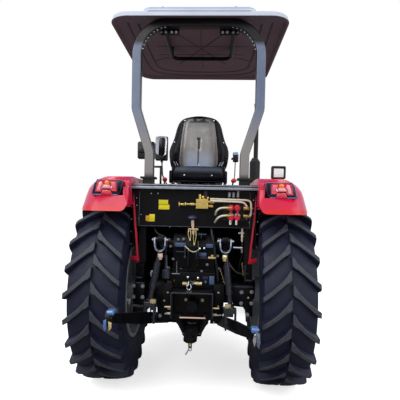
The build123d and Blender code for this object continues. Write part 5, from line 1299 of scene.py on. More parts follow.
def lift_front(at):
    """Plates with painted sky reflections and highlights, stops, ball ends, wires and fittings on the lift
    housing's rear face.
    """
    # the blue plates and the legs are painted sky reflections and highlights on the housing's edges, drawn as
    # thin plates
    reflection_and_stop_plates = (
        ("hitch_sky_reflection_plates", "blue_enamel", 0.0015, (
            (-0.135, -0.106, 0.030, -0.058, -0.078, -0.002), (0.090, -0.108, 0.034, 0.158, -0.082, -0.002),
            (0.020, -0.172, 0.040, 0.094, -0.146, -0.002), (0.118, -0.375, 0.040, 0.154, -0.315, -0.002),
            (0.022, -0.016, 0.028, 0.090, -0.010, -0.002))),
        ("hitch_highlight_legs", "edge_enamel", 0.0015, (
            (-0.066, -0.170, 0.038, -0.056, -0.080, 0.026), (-0.128, -0.146, 0.034, -0.060, -0.140, -0.002),
            (0.050, -0.044, 0.034, 0.057, -0.012, 0.020), (-0.068, -0.186, 0.052, -0.052, -0.170, -0.002))),
        ("hitch_stop_plates", "violet_enamel", 0.001, (
            (0.018, -0.190, 0.044, 0.096, -0.176, -0.002), (0.070, -0.340, 0.036, 0.110, -0.318, -0.002))))
    for name, finish, radius, places in reflection_and_stop_plates:
        made = plates(*[(at(*place[:3]), at(*place[3:])) for place in places], radius=radius)
        settle(made, name, finish, "chassis_black")
    # painted highlight: a gold strip and nub where the housing's edge catches the light
    gold = plates((at(0.106, -0.186, 0.046), at(0.162, -0.174, -0.002)), radius=0.001)
    nub = hex_bar(at(0.136, -0.174, 0.036), at(0.136, -0.160, 0.036), 0.016)
    settle(joined(gold, nub), "hitch_gold_highlight_strip", "pale_brass", "zinc_steel")

    formed("draft_link_bar", "cream_enamel", at, (0.0036, 8, [
        (-0.062, -0.098, 0.050), (-0.040, -0.116, 0.060), (-0.018, -0.134, 0.066), (0.006, -0.138, 0.068),
        (0.030, -0.130, 0.064), (0.044, -0.114, 0.058)]))
    ball = turned([(0, 0.0), (0.002, 0.006), (0.006, 0.0095), (0.011, 0.0095), (0.015, 0.006), (0.017, 0.0)],
                  (0, 0, 0), (0, 0, 1), 20)
    balls = copies(ball, [facing(at(*place), REARWARD) for place in (
        (0.046, -0.114, 0.050), (0.078, -0.112, 0.046), (-0.036, -0.323, 0.046), (0.037, -0.326, 0.046))])
    settle(balls, "hitch_ball_ends", "chrome", "zinc_steel")
    formed("hitch_small_wires", "brown_zinc", at,
           (0.0026, 6, [(0.030, -0.060, 0.046), (0.036, -0.085, 0.050), (0.034, -0.110, 0.052)]),
           (0.0028, 6, [(-0.095, -0.262, 0.030), (-0.090, -0.268, 0.036), (-0.084, -0.262, 0.036),
                        (-0.078, -0.270, 0.030)]),
           (0.0028, 6, [(-0.022, -0.350, 0.044), (-0.010, -0.356, 0.046), (0.004, -0.356, 0.046),
                        (0.014, -0.350, 0.044)]))
    fittings = joined(hex_bar(at(-0.074, -0.370, 0.052), at(-0.040, -0.370, 0.052), 0.024),
                      shaft(at(-0.046, -0.370, 0.052), at(-0.030, -0.372, 0.052), 0.009),
                      hex_bar(at(0.020, -0.366, 0.052), at(0.050, -0.368, 0.052), 0.024),
                      shaft(at(0.046, -0.368, 0.052), at(0.066, -0.366, 0.052), 0.013),
                      shaft(at(0.004, -0.368, 0.052), at(0.022, -0.366, 0.052), 0.008))
    settle(fittings, "quick_fittings", "pale_brass", "zinc_steel")
    formed("retaining_hook", "chrome", at, (0.0036, 8, [
        (-0.030, -0.352, 0.060), (-0.028, -0.376, 0.066), (-0.042, -0.384, 0.068), (-0.044, -0.402, 0.068),
        (-0.026, -0.412, 0.068), (-0.010, -0.402, 0.068), (-0.012, -0.384, 0.066), (-0.018, -0.372, 0.062)]))
    plugs = [shaft(at(x, z, 0.048), at(x, z, 0.062), 0.0095) for x, z in ((-0.001, -0.367), (0.092, -0.352))]
    settle(joined(*plugs), "blue_plugs", "blue_enamel", "black_plastic")
    selector = joined(plates((at(-0.160, -0.312, 0.012), at(-0.098, -0.304, -0.002))),
                      shaft(at(-0.122, -0.356, 0.012), at(-0.122, -0.215, 0.012), 0.0028))
    settle(selector, "selector_rod", "zinc_steel", "zinc_steel")
    settle(hex_bar(at(-0.140, -0.356, 0.012), at(-0.098, -0.356, 0.012), 0.020), "selector_nut",
           "orange_zinc", "zinc_steel")
    spots = [(-0.184, -0.058), (-0.171, -0.108), (-0.077, -0.052), (-0.115, -0.056), (0.182, -0.050),
             (0.176, -0.170), (0.100, -0.235), (-0.150, -0.200), (0.060, -0.285), (-0.182, -0.265),
             (0.186, -0.262)]
    bolts("housing_bolts", [at(x, z) for x, z in spots], 0.012, 0.006)


def drive_shield():
    """The drive shaft shield's bright lip, its edges drawn as strips with a painted highlight, side pins,
    cover bolts and shaft seal.
    """
    low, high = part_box("pto_shield")
    y, foot, half = low.y, low.z, 0.145
    bolts("drive_cover_bolts", [(x, high.y - 0.020, foot + 0.100) for x in (-0.048, 0.073)], 0.014, 0.016,
          "pale_brass")
    settle(plates(((-0.082, y - 0.003, foot + 0.002), (0.098, y + 0.004, foot + 0.011)), radius=0.001),
           "shield_lip", "pink_cream", "zinc_steel")
    # painted highlight along the shield's top and side edges
    top_edge = ((-half - 0.001, y - 0.002, high.z - 0.006), (half + 0.001, y + 0.003, high.z + 0.001))
    side_edges = [((sign * half - 0.002, y - 0.002, foot), (sign * half + 0.002, y + 0.003, high.z))
                  for sign in (-1, 1)]
    settle(plates(top_edge, *side_edges, radius=0.001), "shield_edge_highlights", "edge_enamel", "chassis_black")
    pins = [((sign * 0.142, y + back, foot + z), (sign * reach, y + back, foot + z), radius)
            for sign in (-1, 1)
            for back, z, reach, radius in ((0.030, 0.070, 0.192, 0.006), (0.045, 0.024, 0.178, 0.004))]
    settle(round_bars(*pins), "shield_side_pins", "pale_brass", "zinc_steel")
    seal = turned([(0, 0.0), (0, 0.046), (0.014, 0.046), (0.018, 0.040), (0.022, 0.030), (0.026, 0.026),
                   (0.060, 0.024), (0.062, 0.020), (0.062, 0.0)], (0.002, high.y - 0.004, foot + 0.078),
                  REARWARD, 40)
    settle(seal, "drive_shaft_seal", "sheet_enamel", "chassis_black")


def drawbar_parts(cage_y):
    """The cage that holds the drawbar, with its bolts, and the drawbar's pin, clip and latch."""
    low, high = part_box("drawbar")
    cheek = [(0.120, high.z + 0.004), (0.118, low.z + 0.098), (0.084, low.z + 0.062), (0.066, low.z + 0.002),
             (0.036, low.z), (0.052, low.z + 0.070), (0.078, low.z + 0.100), (0.082, high.z + 0.004)]
    back = [(0.044, low.z + 0.004), (0.060, low.z + 0.058), (0.104, low.z + 0.102), (0.108, high.z)]
    back = [(-x, z) for x, z in reversed(back)] + back
    parts = [upright([(sign * x, z) for x, z in cheek], 0.090, cage_y) for sign in (-1, 1)]
    settle(softened(joined(*parts, upright(back, 0.010, cage_y + 0.072)), 0.003), "drawbar_cage",
           "sheet_enamel", "chassis_black")
    bolts("drawbar_cage_bolts", [(sign * x, cage_y, low.z + z) for sign in (-1, 1)
                                 for x, z in ((0.101, 0.112), (0.100, 0.150), (0.058, 0.030))], 0.014, 0.007)
    y, z = low.y + 0.045, low.z
    pin = joined(shaft((0, y, z + 0.012), (0, y, high.z - 0.085), 0.010),
                 hex_bar((0, y, z + 0.046), (0, y, z + 0.080), 0.026))
    settle(pin, "drawbar_pin", "pale_brass", "zinc_steel")
    clip = swept([(0.0, y, z + 0.010), (0.012, y - 0.004, z - 0.006), (0.004, y - 0.004, z - 0.022),
                  (-0.010, y - 0.004, z - 0.012), (-0.008, y - 0.004, z + 0.002)], 0.0036, 8, closed=True)
    tail = swept([(-0.006, y - 0.003, z - 0.006), (-0.016, y - 0.004, z - 0.022),
                  (-0.028, y - 0.004, z - 0.046)],
                 0.0045, 8)
    settle(joined(clip, tail), "drawbar_clip", "zinc_steel", "zinc_steel", 60)
    arch = swept([(-0.030, cage_y - 0.004, z + 0.104), (-0.012, cage_y - 0.010, z + 0.098),
                  (0.012, cage_y - 0.010, z + 0.098), (0.030, cage_y - 0.004, z + 0.104)], 0.004, 8)
    settle(arch, "drawbar_latch", "edge_enamel", "chassis_black", 60)


def shackle(side, sign):
    """The shackle at a lift rod's upper end, with its two nuts, and the rod's upper lock nut."""
    low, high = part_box(f"lift_rod_{side}")
    y, top, middle, body = low.y - 0.004, high.z, sign * LIFT_ARM_X, f"lift_rod_{side}"
    half_bow = [(0.036, 0.020, 0.004), (0.038, 0.0, 0.040), (0.030, 0.0, 0.085), (0.010, 0.0, 0.096)]
    bow = [(-x, back, drop) for x, back, drop in half_bow] + half_bow[::-1]
    settle(swept([(middle + x, y + back, top - drop) for x, back, drop in bow], 0.0052, 10),
           f"shackle_bow_{side}", "shackle_steel", "zinc_steel", 60, body)
    heads = [hex_bar((middle + way * 0.036, y + 0.018, top - 0.018),
                     (middle + way * 0.056, y + 0.018, top - 0.018),
                     0.017) for way in (-1, 1)]
    settle(joined(*heads), f"shackle_nuts_{side}", "zinc_steel", "zinc_steel", body=body)
    x, y, z = middle - sign * 0.004, y + 0.022, top - 0.112
    nut = joined(hex_bar((x, y, z - 0.030), (x + sign * 0.002, y, z), 0.032),
                 shaft((x, y, z - 0.042), (x, y, z - 0.028), 0.011))
    settle(nut, f"lift_rod_upper_nut_{side}", "pale_brass" if sign > 0 else "pink_cream", "zinc_steel",
           body=body)


class DetailHitch(bpy.types.Operator):
    """Brackets, shackles, pins and nuts of the three-point hitch"""
    bl_idname = "tractor.hitch_details"
    bl_label = "Hitch details"

    def execute(self, context):
        low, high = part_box("hydraulic_lift_housing")
        lift_front(lambda x, z, out=0.0: Vector((x, low.y - out, high.z + z)))
        drive_shield()
        drawbar_parts(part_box("pto_shield")[1].y - 0.030)
        for side, sign in SIDES:
            shackle(side, sign)
        return {"FINISHED"}


def axle_plates(at, rear, middle, reach):
    """Stabiliser plates with their ribs, bolts, pins and clip, and the splash shields ahead of them."""
    shield_y, shield_foot, shield_top = -0.720, 0.76, 1.215
    walls = []
    for sign in (-1, 1):
        walls.append(rounded_box((sign * 0.09, shield_y - 0.005, shield_foot),
                                 (sign * (reach - 0.006), shield_y + 0.005, shield_top), 0.003))
        walls += [rounded_box((sign * x, shield_y - 0.008, shield_foot + 0.04),
                              (sign * (x + 0.01), shield_y + 0.008, shield_top - 0.015), 0.002)
                  for x in (0.24, 0.37)]
    settle(joined(*walls), "splash_shields", "matt_black", "chassis_black")
    shapes = (
        [(-reach, -0.045), (-0.358, -0.045), (-0.352, -0.060), (-0.352, 0.120), (-reach, 0.120)],
        [(-reach, -0.110), (-0.362, -0.104), (-0.362, -0.060), (-reach, -0.056)],
        [(-0.250, -0.160), (-0.150, -0.150), (-0.150, 0.120), (-0.235, 0.120), (-0.262, 0.040)],
        [(0.292, -0.035), (0.376, -0.040), (0.384, -0.104), (reach, -0.110), (reach, 0.120), (0.292, 0.120)],
        [(0.150, -0.150), (0.205, -0.150), (0.225, -0.090), (0.225, 0.120), (0.150, 0.120)])
    made = [upright([(x, middle + z) for x, z in points], 0.012, rear - 0.020) for points in shapes]
    settle(softened(joined(*made), 0.002), "stabiliser_plates", "sheet_enamel", "chassis_black")
    out, back = 0.030, 0.016
    ribs = [((-reach, -0.110), (-0.362, -0.104)), ((-reach, -0.062), (-0.362, -0.056)),
            ((0.296, 0.104), (reach, 0.112)), ((0.384, -0.112), (reach, -0.104)),
            ((-reach, 0.112), (-0.352, 0.120))]
    settle(plates(*[(at(*a, out), at(*b, back)) for a, b in ribs], radius=0.001), "stabiliser_ribs",
           "edge_enamel", "chassis_black")
    large = [(-0.430, 0.092), (-0.364, 0.092), (-0.430, 0.012), (-0.364, 0.012), (0.352, 0.068),
             (0.424, 0.072), (0.350, -0.012), (0.424, -0.010), (-0.170, -0.060), (-0.236, -0.120),
             (0.396, -0.092)]
    small = [(-0.300, -0.020), (-0.180, 0.050), (0.186, -0.040), (0.186, 0.060), (-0.205, -0.010),
             (0.400, 0.030)]
    bolts("stabiliser_bolts", [at(x, z, 0.020) for x, z in large], 0.018, 0.009)
    bolts("axle_small_bolts", [at(x, z, 0.020) for x, z in small], 0.009, 0.005, "pale_brass")
    settle(round_bars((at(-0.200, -0.102, out), at(-0.150, -0.104, out), 0.006),
                      (at(0.150, -0.104, out), at(0.212, -0.100, out), 0.006)), "stabiliser_pins",
           "zinc_steel", "zinc_steel")
    formed("stabiliser_clip", "edge_enamel", at, (0.0045, 8, [
        (-0.300, -0.055, 0.040), (-0.302, -0.080, 0.046), (-0.290, -0.102, 0.048), (-0.272, -0.104, 0.048),
        (-0.262, -0.084, 0.046), (-0.264, -0.058, 0.040)]))


def axle_small_parts(at, rear, middle, reach):
    """The tap, hoses, check chains, stabiliser cylinder, lift stop and painted highlights along plate edges
    above the axle.
    """
    tap = joined(round_bars((at(0.284, 0.390, 0.020), at(0.338, 0.388, 0.020), 0.0075),
                            (at(0.346, 0.392, 0.022), at(0.348, 0.352, 0.022), 0.0095)),
                 hex_bar(at(0.334, 0.388, 0.020), at(0.352, 0.388, 0.020), 0.020))
    settle(tap, "tap_handle", "chrome", "zinc_steel")
    formed("hitch_hoses", "hose_rubber", at,
           (0.004, 8, [(0.330, 0.530, -0.02), (0.352, 0.450, 0.0), (0.348, 0.40, 0.018), (0.350, 0.33, 0.018),
                       (0.330, 0.27, 0.0), (0.332, 0.20, -0.02)]),
           (0.010, 10, [(0.120, 0.560, -0.03), (0.128, 0.48, 0.0), (0.150, 0.40, 0.012), (0.158, 0.30, 0.010),
                        (0.176, 0.22, 0.004), (0.182, 0.14, 0.0)]),
           (0.006, 8, [(-0.300, 0.54, -0.03), (-0.28, 0.47, 0.0), (-0.20, 0.46, 0.01), (-0.19, 0.40, 0.01),
                       (-0.21, 0.30, 0.0)]),
           (0.008, 8, [(0.24, 0.30, -0.05), (0.29, 0.22, 0.0), (0.34, 0.195, 0.01), (0.40, 0.20, 0.0)]),
           slot="black_plastic")
    links, pitch = [], 0.0125
    for x, top, count, lean in ((0.196, 0.235, 9, 0.004), (-0.190, 0.240, 7, -0.004),
                                (0.352, 0.285, 8, 0.0015)):
        for k in range(count):
            p = at(x + lean * k, top - pitch * k, 0.012)
            links.append(shaft(p, p + Vector((0.004 * (-1) ** k, -0.003, -0.013)), 0.0042, 0.003, sides=8,
                               bevel=0))
    settle(joined(*links), "check_chains", "brown_zinc", "zinc_steel")
    drum = turned([(0, 0.0), (0, 0.024), (0.006, 0.030), (0.060, 0.030), (0.066, 0.024), (0.066, 0.0)],
                  at(-0.196, 0.150, 0.006), (0, 0, 1), 32)
    settle(joined(drum, shaft(at(-0.196, 0.214, 0.006), at(-0.198, 0.320, 0.006), 0.012, 0.009)),
           "stabiliser_cylinder", "edge_enamel", "chassis_black")
    stop = [(-0.300, 0.158), (-0.270, 0.166), (-0.262, 0.186), (-0.264, 0.206), (-0.278, 0.214),
            (-0.306, 0.208), (-0.312, 0.190), (-0.310, 0.170)]
    settle(softened(upright([(x, middle + z) for x, z in stop], 0.008, rear - 0.030), 0.002), "lift_stop",
           "shackle_steel", "chassis_black")
    # painted highlights along the axle tower's plate edges
    edges = [((0.372, 0.150), (0.378, 0.262)), ((0.372, 0.148), (reach, 0.156)),
             ((-reach, 0.148), (-0.372, 0.156))]
    settle(plates(*[(at(*a, 0.012), at(*b, 0.004)) for a, b in edges], radius=0.001), "axle_tower_edge_highlights",
           "edge_enamel", "chassis_black")


# What differs between the two lower links' ends. The outlines are measured from the link's outer side and its
# crest, lengths are in metres, and the eye is the web between the legs of the lift rod's fork.
LINK_ENDS = {
    "left": {"blade": [(0.002, 0.050), (0.018, 0.040), (0.020, 0.090), (0.008, 0.112), (0.000, 0.084)],
             "edge": [(0.030, 0.052), (0.050, 0.060), (0.048, 0.092), (0.034, 0.108)],
             "finishes": ("catch_blue", "pale_brass"), "rod_x": -0.266, "nut_rise": 0.146,
             "eye": (0.016, 0.016, 0.662)},
    "right": {"blade": [(-0.036, 0.010), (-0.012, 0.020), (-0.006, 0.070), (-0.014, 0.108), (-0.026, 0.090)],
              "edge": [(-0.044, 0.024), (-0.034, 0.018), (-0.030, 0.064), (-0.040, 0.096), (-0.050, 0.060)],
              "finishes": ("shackle_steel", "chrome"), "rod_x": 0.249, "nut_rise": 0.160,
              "eye": (0.028, 0.040, 0.630)},
}


def link_end(side, sign):
    """A lower link's quick catch, and the lower nut and fork web of the lift rod above it."""
    low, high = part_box(f"lower_link_{side}")
    ends, link, rod = LINK_ENDS[side], f"lower_link_{side}", f"lift_rod_{side}"
    outer, crest = low.x if sign < 0 else high.x, high.z
    x, y = outer - sign * 0.034, low.y + 0.045
    cap = rounded_box((x - 0.022, y - 0.030, crest - 0.026), (x + 0.022, y + 0.030, crest + 0.002), 0.009, 4)
    settle(stepped(cap, REARWARD, (0.004, 0.002)), f"catch_cap_{side}", "catch_blue", "chassis_black",
           body=link)
    for part, depth, out, finish, slot in (("blade", 0.010, 0.003, ends["finishes"][0], "chassis_black"),
                                           ("edge", 0.008, 0.005, ends["finishes"][1], "zinc_steel")):
        piece = upright([(outer + u, crest - drop) for u, drop in ends[part]], depth, low.y - out)
        settle(softened(piece, 0.003), f"catch_{part}_{side}", finish, slot, body=link)
    rod_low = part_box(rod)[0]
    x, y, foot = ends["rod_x"], rod_low.y, rod_low.z + ends["nut_rise"]
    left, right, eye_z = ends["eye"]
    nut = hex_bar((x, y + 0.002, foot), (x + 0.001, y + 0.002, foot + 0.024), 0.040)
    eye = rounded_box((x - left, y + 0.006, eye_z), (x + right, y + 0.030, foot + 0.004), 0.006, 3)
    settle(eye, f"lift_rod_fork_web_{side}", "rod_enamel", "chassis_black", body=rod)
    settle(nut, f"lift_rod_lower_nut_{side}", "straw_enamel", "zinc_steel", body=rod)


class DetailAxle(bpy.types.Operator):
    """Stabiliser plates, splash shields, link-end catches and small parts round the rear axle"""
    bl_idname = "tractor.axle_details"
    bl_label = "Axle details"

    def execute(self, context):
        low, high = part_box("rear_axle_housing")
        rear, middle, reach = low.y, (low.z + high.z) / 2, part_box("rear_deck")[1].x - 0.010

        def at(x, z, out=0.0):
            return Vector((x, rear - out, middle + z))

        axle_plates(at, rear, middle, reach)
        axle_small_parts(at, rear, middle, reach)
        for side, sign in SIDES:
            link_end(side, sign)
        return {"FINISHED"}


# ---- Roof and driver's place ----

def tray(x, y0, y1, z0, z1, corner, taper):
    """A rounded slab, drawn in towards its top."""
    points = []
    for cx, cy, turn in ((x - corner, y1 - corner, 0), (-x + corner, y1 - corner, 1),
                         (-x + corner, y0 + corner, 2), (x - corner, y0 + corner, 3)):
        for k in range(9):
            a = (turn + k / 8) * math.pi / 2
            points.append((cx + corner * math.cos(a), cy + corner * math.sin(a)))
    piece = outline(points, z1 - z0, "XY")
    middle_y = (y0 + y1) / 2
    for vertex in piece.data.vertices:
        across, along_y = vertex.co.x, vertex.co.y - middle_y
        if vertex.co.z > (z1 - z0) / 2:
            vertex.co.x -= math.copysign(min(taper, abs(across)), across)
            vertex.co.y -= math.copysign(min(taper, abs(along_y)), along_y)
    return moved(piece, z=z0)


def roof():
    """The roof's skirt and crown, the raised beads of its hollow side, and its two studs."""
    low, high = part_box("canopy_roof")
    half_x = (high.x - low.x) / 2
    skirt = tray(half_x, low.y, high.y, low.z, low.z + 0.042, 0.15, 0.010)
    softened(stepped(skirt, (0, 0, -1), (0.022, 0.0), (0.012, -0.026)), 0.006, 3, 30)
    crown = tray(half_x * 0.64, low.y + 0.004, high.y - 0.10, low.z + 0.036, high.z - 0.003, 0.07, 0.016)
    softened(crown, 0.008, 3, 30)
    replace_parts(settle(joined(skirt, crown), "roof_shell", "roof_sheet", "canopy_plastic"), "canopy_roof")
    under = low.z + 0.0262
    beads = []
    for inset_x, y0, y1, corner in ((0.12, low.y + 0.18, high.y - 0.10, 0.22),
                                    (0.20, low.y + 0.20, high.y - 0.20, 0.20)):
        x = half_x - inset_x
        half = [(x, y0), (x, y1 - corner), (x - corner * 0.3, y1 - corner * 0.3), (x - corner, y1)]
        loop = half + [(0, y1 + 0.02)] + [(-u, v) for u, v in reversed(half)]
        beads.append(swept([(u, v, under) for u, v in loop], 0.007, 8))
    for sign in (-1, 1):
        beads.append(shaft((sign * 0.235, low.y + 0.30, under), (-sign * 0.235, high.y - 0.42, under), 0.0045,
                           sides=8, bevel=0))
        beads.append(swept([(sign * 0.30, high.y - 0.60, under), (sign * 0.42, high.y - 0.58, under),
                            (sign * 0.46, high.y - 0.50, under)], 0.005, 8))
    for share in (0.42, 0.55):
        y = low.y + share * (high.y - low.y)
        beads.append(shaft((-0.40, y, under), (0.40, y, under), 0.0035, sides=8, bevel=0))
    beads.append(shaft((0, low.y + 0.30, under), (0, high.y - 0.30, under), 0.003, sides=8, bevel=0))
    settle(joined(*beads), "roof_under_beads", "roof_backing", "canopy_plastic", 60)
    studs = [turned([(0, 0.0), (0, 0.010), (0.0025, 0.008), (0.003, 0.0)],
                    (sign * 0.27, low.y + 0.030, high.z - 0.0035), (0, 0, 1), 16) for sign in (-1, 1)]
    settle(joined(*studs), "roof_studs", "roof_sheet", "canopy_plastic")


def hoop_bolts(hoop_low, hoop_high):
    """Bolts on the roof's plate and round the inside of the hoop's upper bends."""
    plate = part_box("canopy_frame")[0]
    bolts("roof_plate_bolts", [(sign * x, plate.y - 0.001, plate.z + z) for sign in (-1, 1) for x, z in (
        (0.180, 0.022), (0.215, 0.022), (0.262, 0.022), (0.298, 0.022), (0.305, 0.060), (0.190, 0.052))],
          0.014, 0.008)
    bend_x, bend_z, bend_radius = hoop_high.x - 0.290, hoop_high.z - 0.290, 0.212
    points, directions = [], []
    for sign in (-1, 1):
        for k in range(9):
            a = math.radians(12 + 8.5 * k)
            points.append((sign * (bend_x + bend_radius * math.cos(a)), hoop_low.y + 0.020,
                           bend_z + bend_radius * math.sin(a)))
            directions.append((-sign * math.cos(a), -0.2, -math.sin(a)))
    bolts("hoop_inner_bolts", points, 0.009, 0.006, washer=False, directions=directions)


def mirror_parts():
    """The left mirror's bright rim, glass and bracket, and the right mirror's cup with its pane."""
    low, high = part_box("mirrors")
    y, right, foot = low.y, high.x, low.z
    rim = [(0.002, 0.165), (0.000, 0.040), (0.014, 0.008), (0.040, 0.0), (0.100, 0.002), (0.120, 0.016),
           (0.122, 0.060), (0.116, 0.190), (0.090, 0.205), (0.020, 0.190)]
    glass = [(0.036, 0.196), (0.040, 0.056), (0.050, 0.020), (0.090, 0.016), (0.102, 0.034), (0.100, 0.180),
             (0.082, 0.204)]
    bracket = [(0.020, 0.186), (0.100, 0.186), (0.102, 0.226), (0.076, 0.246), (0.052, 0.236)]
    parts = (("mirror_rim_left", "satin_chrome", "black_plastic", rim, 0.018, 0.016, 0.004, 3),
             ("mirror_glass_left", "dark_glass", "lamp_lens", glass, 0.010, 0.022, 0.002, 2),
             ("mirror_bracket_left", "abs_black", "black_plastic", bracket, 0.020, 0.010, 0.003, 2))
    for name, finish, slot, points, depth, out, edge, segments in parts:
        piece = upright([(low.x + u, high.z - drop) for u, drop in points], depth, y - out)
        if points is rim:
            stepped(piece, REARWARD, (0.012, -0.003))
        settle(softened(piece, edge, segments), name, finish, slot)
    cup = joined(rounded_box((right - 0.056, y - 0.012, foot + 0.374),
                             (right + 0.002, y + 0.020, foot + 0.466), 0.012, 4),
                 rounded_box((right - 0.072, y, foot + 0.398), (right - 0.050, y + 0.014, foot + 0.420),
                             0.004))
    settle(cup, "mirror_cup_right", "abs_black", "black_plastic")
    # painted reflection: the pane is painted sky blue
    pane = rounded_box((right - 0.052, y - 0.014, foot + 0.446), (right - 0.001, y + 0.010, foot + 0.478),
                       0.006, 4)
    settle(pane, "mirror_pane_right", "sky_glass", "lamp_lens")


def hand_controls(post_y):
    """The case on the left post, the hand brake's crank and the red covers of the lever balls."""
    case = joined(rounded_box((-0.478, post_y + 0.004, 1.756), (-0.340, post_y + 0.070, 1.888), 0.010, 4),
                  rounded_box((-0.470, post_y - 0.004, 1.800), (-0.400, post_y + 0.010, 1.850), 0.004))
    settle(stepped(case, (0, 0, 1), (0.006, 0.003)), "post_tool_case", "abs_black", "black_plastic")
    crank_y, crank_top = -0.560, 1.744
    crank = joined(rounded_box((-0.412, crank_y, crank_top - 0.018), (-0.344, crank_y + 0.020, crank_top),
                               0.004),
                   rounded_box((-0.362, crank_y, 1.560), (-0.344, crank_y + 0.020, crank_top - 0.002), 0.004))
    settle(crank, "hand_brake_lever", "abs_black", "black_plastic")
    low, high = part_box("control_levers")
    ball = turned([(0, 0.0), (0.002, 0.010), (0.008, 0.019), (0.018, 0.0225), (0.029, 0.020), (0.037, 0.011),
                   (0.040, 0.0)], (0, 0, 0), (0, 0, 1), 28)
    balls = copies(ball, [Matrix.Translation((x, (low.y + high.y) / 2, high.z - 0.034))
                          for x in (low.x + 0.015, high.x - 0.007)])
    settle(balls, "lever_ball_covers", "cap_vinyl", "black_plastic")


class DetailCab(bpy.types.Operator):
    """The roof, the hoop's bolts, the mirrors and the hand controls round the driver"""
    bl_idname = "tractor.cab_details"
    bl_label = "Roof and driver's place"

    def execute(self, context):
        roof()
        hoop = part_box("rops_frame")
        hoop_bolts(*hoop)
        mirror_parts()
        hand_controls(hoop[1].y)
        return {"FINISHED"}


# ---- Front ----

def hood_details():
    """The hood's seams and latches, the plinth on its nose, and the grille's slats."""
    low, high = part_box("hood_shell")
    crease, foot_y, nose_y = low.z + 0.300, low.y + 0.30, high.y - 0.20
    seams = []
    for sign in (-1, 1):
        x = sign * (high.x + 0.0005)
        for path in (((low.y + 0.06, crease), (nose_y - 0.14, crease - 0.010), (nose_y, crease - 0.022)),
                     ((foot_y, low.z + 0.020), (foot_y, crease - 0.002))):
            seams.append(swept([(x, y, z) for y, z in path], 0.0022, 6))
    settle(joined(*seams), "hood_seams", "matt_black", "black_plastic", 60, "hood")
    latches = [rounded_box((sign * high.x - 0.003, low.y + 0.14, low.z + 0.120),
                           (sign * high.x + 0.004, low.y + 0.20, low.z + 0.150), 0.002) for sign in (-1, 1)]
    plinth = rounded_box((-0.05, high.y - 0.004, high.z - 0.190), (0.05, high.y + 0.004, high.z - 0.160),
                         0.003)
    settle(joined(*latches, plinth), "hood_latches", "satin_chrome", "black_plastic", body="hood")
    low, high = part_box("grille")
    slats = [((-high.x + 0.030, high.y - 0.004, low.z + 0.045 + 0.026 * k),
              (high.x - 0.030, high.y + 0.003, low.z + 0.054 + 0.026 * k)) for k in range(10)]
    posts = [((0.07 * k - 0.003, high.y - 0.004, low.z + 0.040),
              (0.07 * k + 0.003, high.y + 0.005, low.z + 0.300))
             for k in range(-2, 3)]
    settle(plates(*slats, *posts, radius=0.001), "grille_slats", "edge_enamel", "black_plastic", body="hood")


class DetailFront(bpy.types.Operator):
    """The hood's seams, latches and plinth, grille slats, valve stems and the weights' grips"""
    bl_idname = "tractor.front_details"
    bl_label = "Front details"

    def execute(self, context):
        hood_details()
        for side, sign in SIDES:
            for axle in ("rear", "front"):
                rim_low, rim_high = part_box(f"{axle}_rim_{side}")
                x, y, z = sum(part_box(f"{axle}_tyre_{side}"), Vector()) / 2
                rim_top = z + (rim_high.z - rim_low.z) / 2
                stem = shaft((x + sign * 0.05, y, rim_top - 0.045), (x + sign * 0.085, y, rim_top - 0.060),
                             0.004)
                settle(stem, f"{axle}_valve_stem_{side}", "brass", "zinc_steel", body=f"{axle}_wheel_{side}")
        low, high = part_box("front_weights")
        grip = [(0.03, 0.004), (0.03, 0.0), (0.08, 0.0), (0.08, 0.004)]
        grips = [swept([(x, high.y - back, high.z - drop) for back, drop in grip], 0.005, 8)
                 for x in (-0.12, -0.04, 0.04, 0.12)]
        grooves = plates(*[((0.045 * k - 0.002, high.y - 0.004, low.z + 0.02),
                            (0.045 * k + 0.002, high.y + 0.0005, high.z - 0.02)) for k in range(-3, 4)],
                         radius=0.0005)
        settle(joined(*grips, grooves), "weight_grips", "edge_enamel", "chassis_black", 60)
        return {"FINISHED"}


# ---- Stage ----

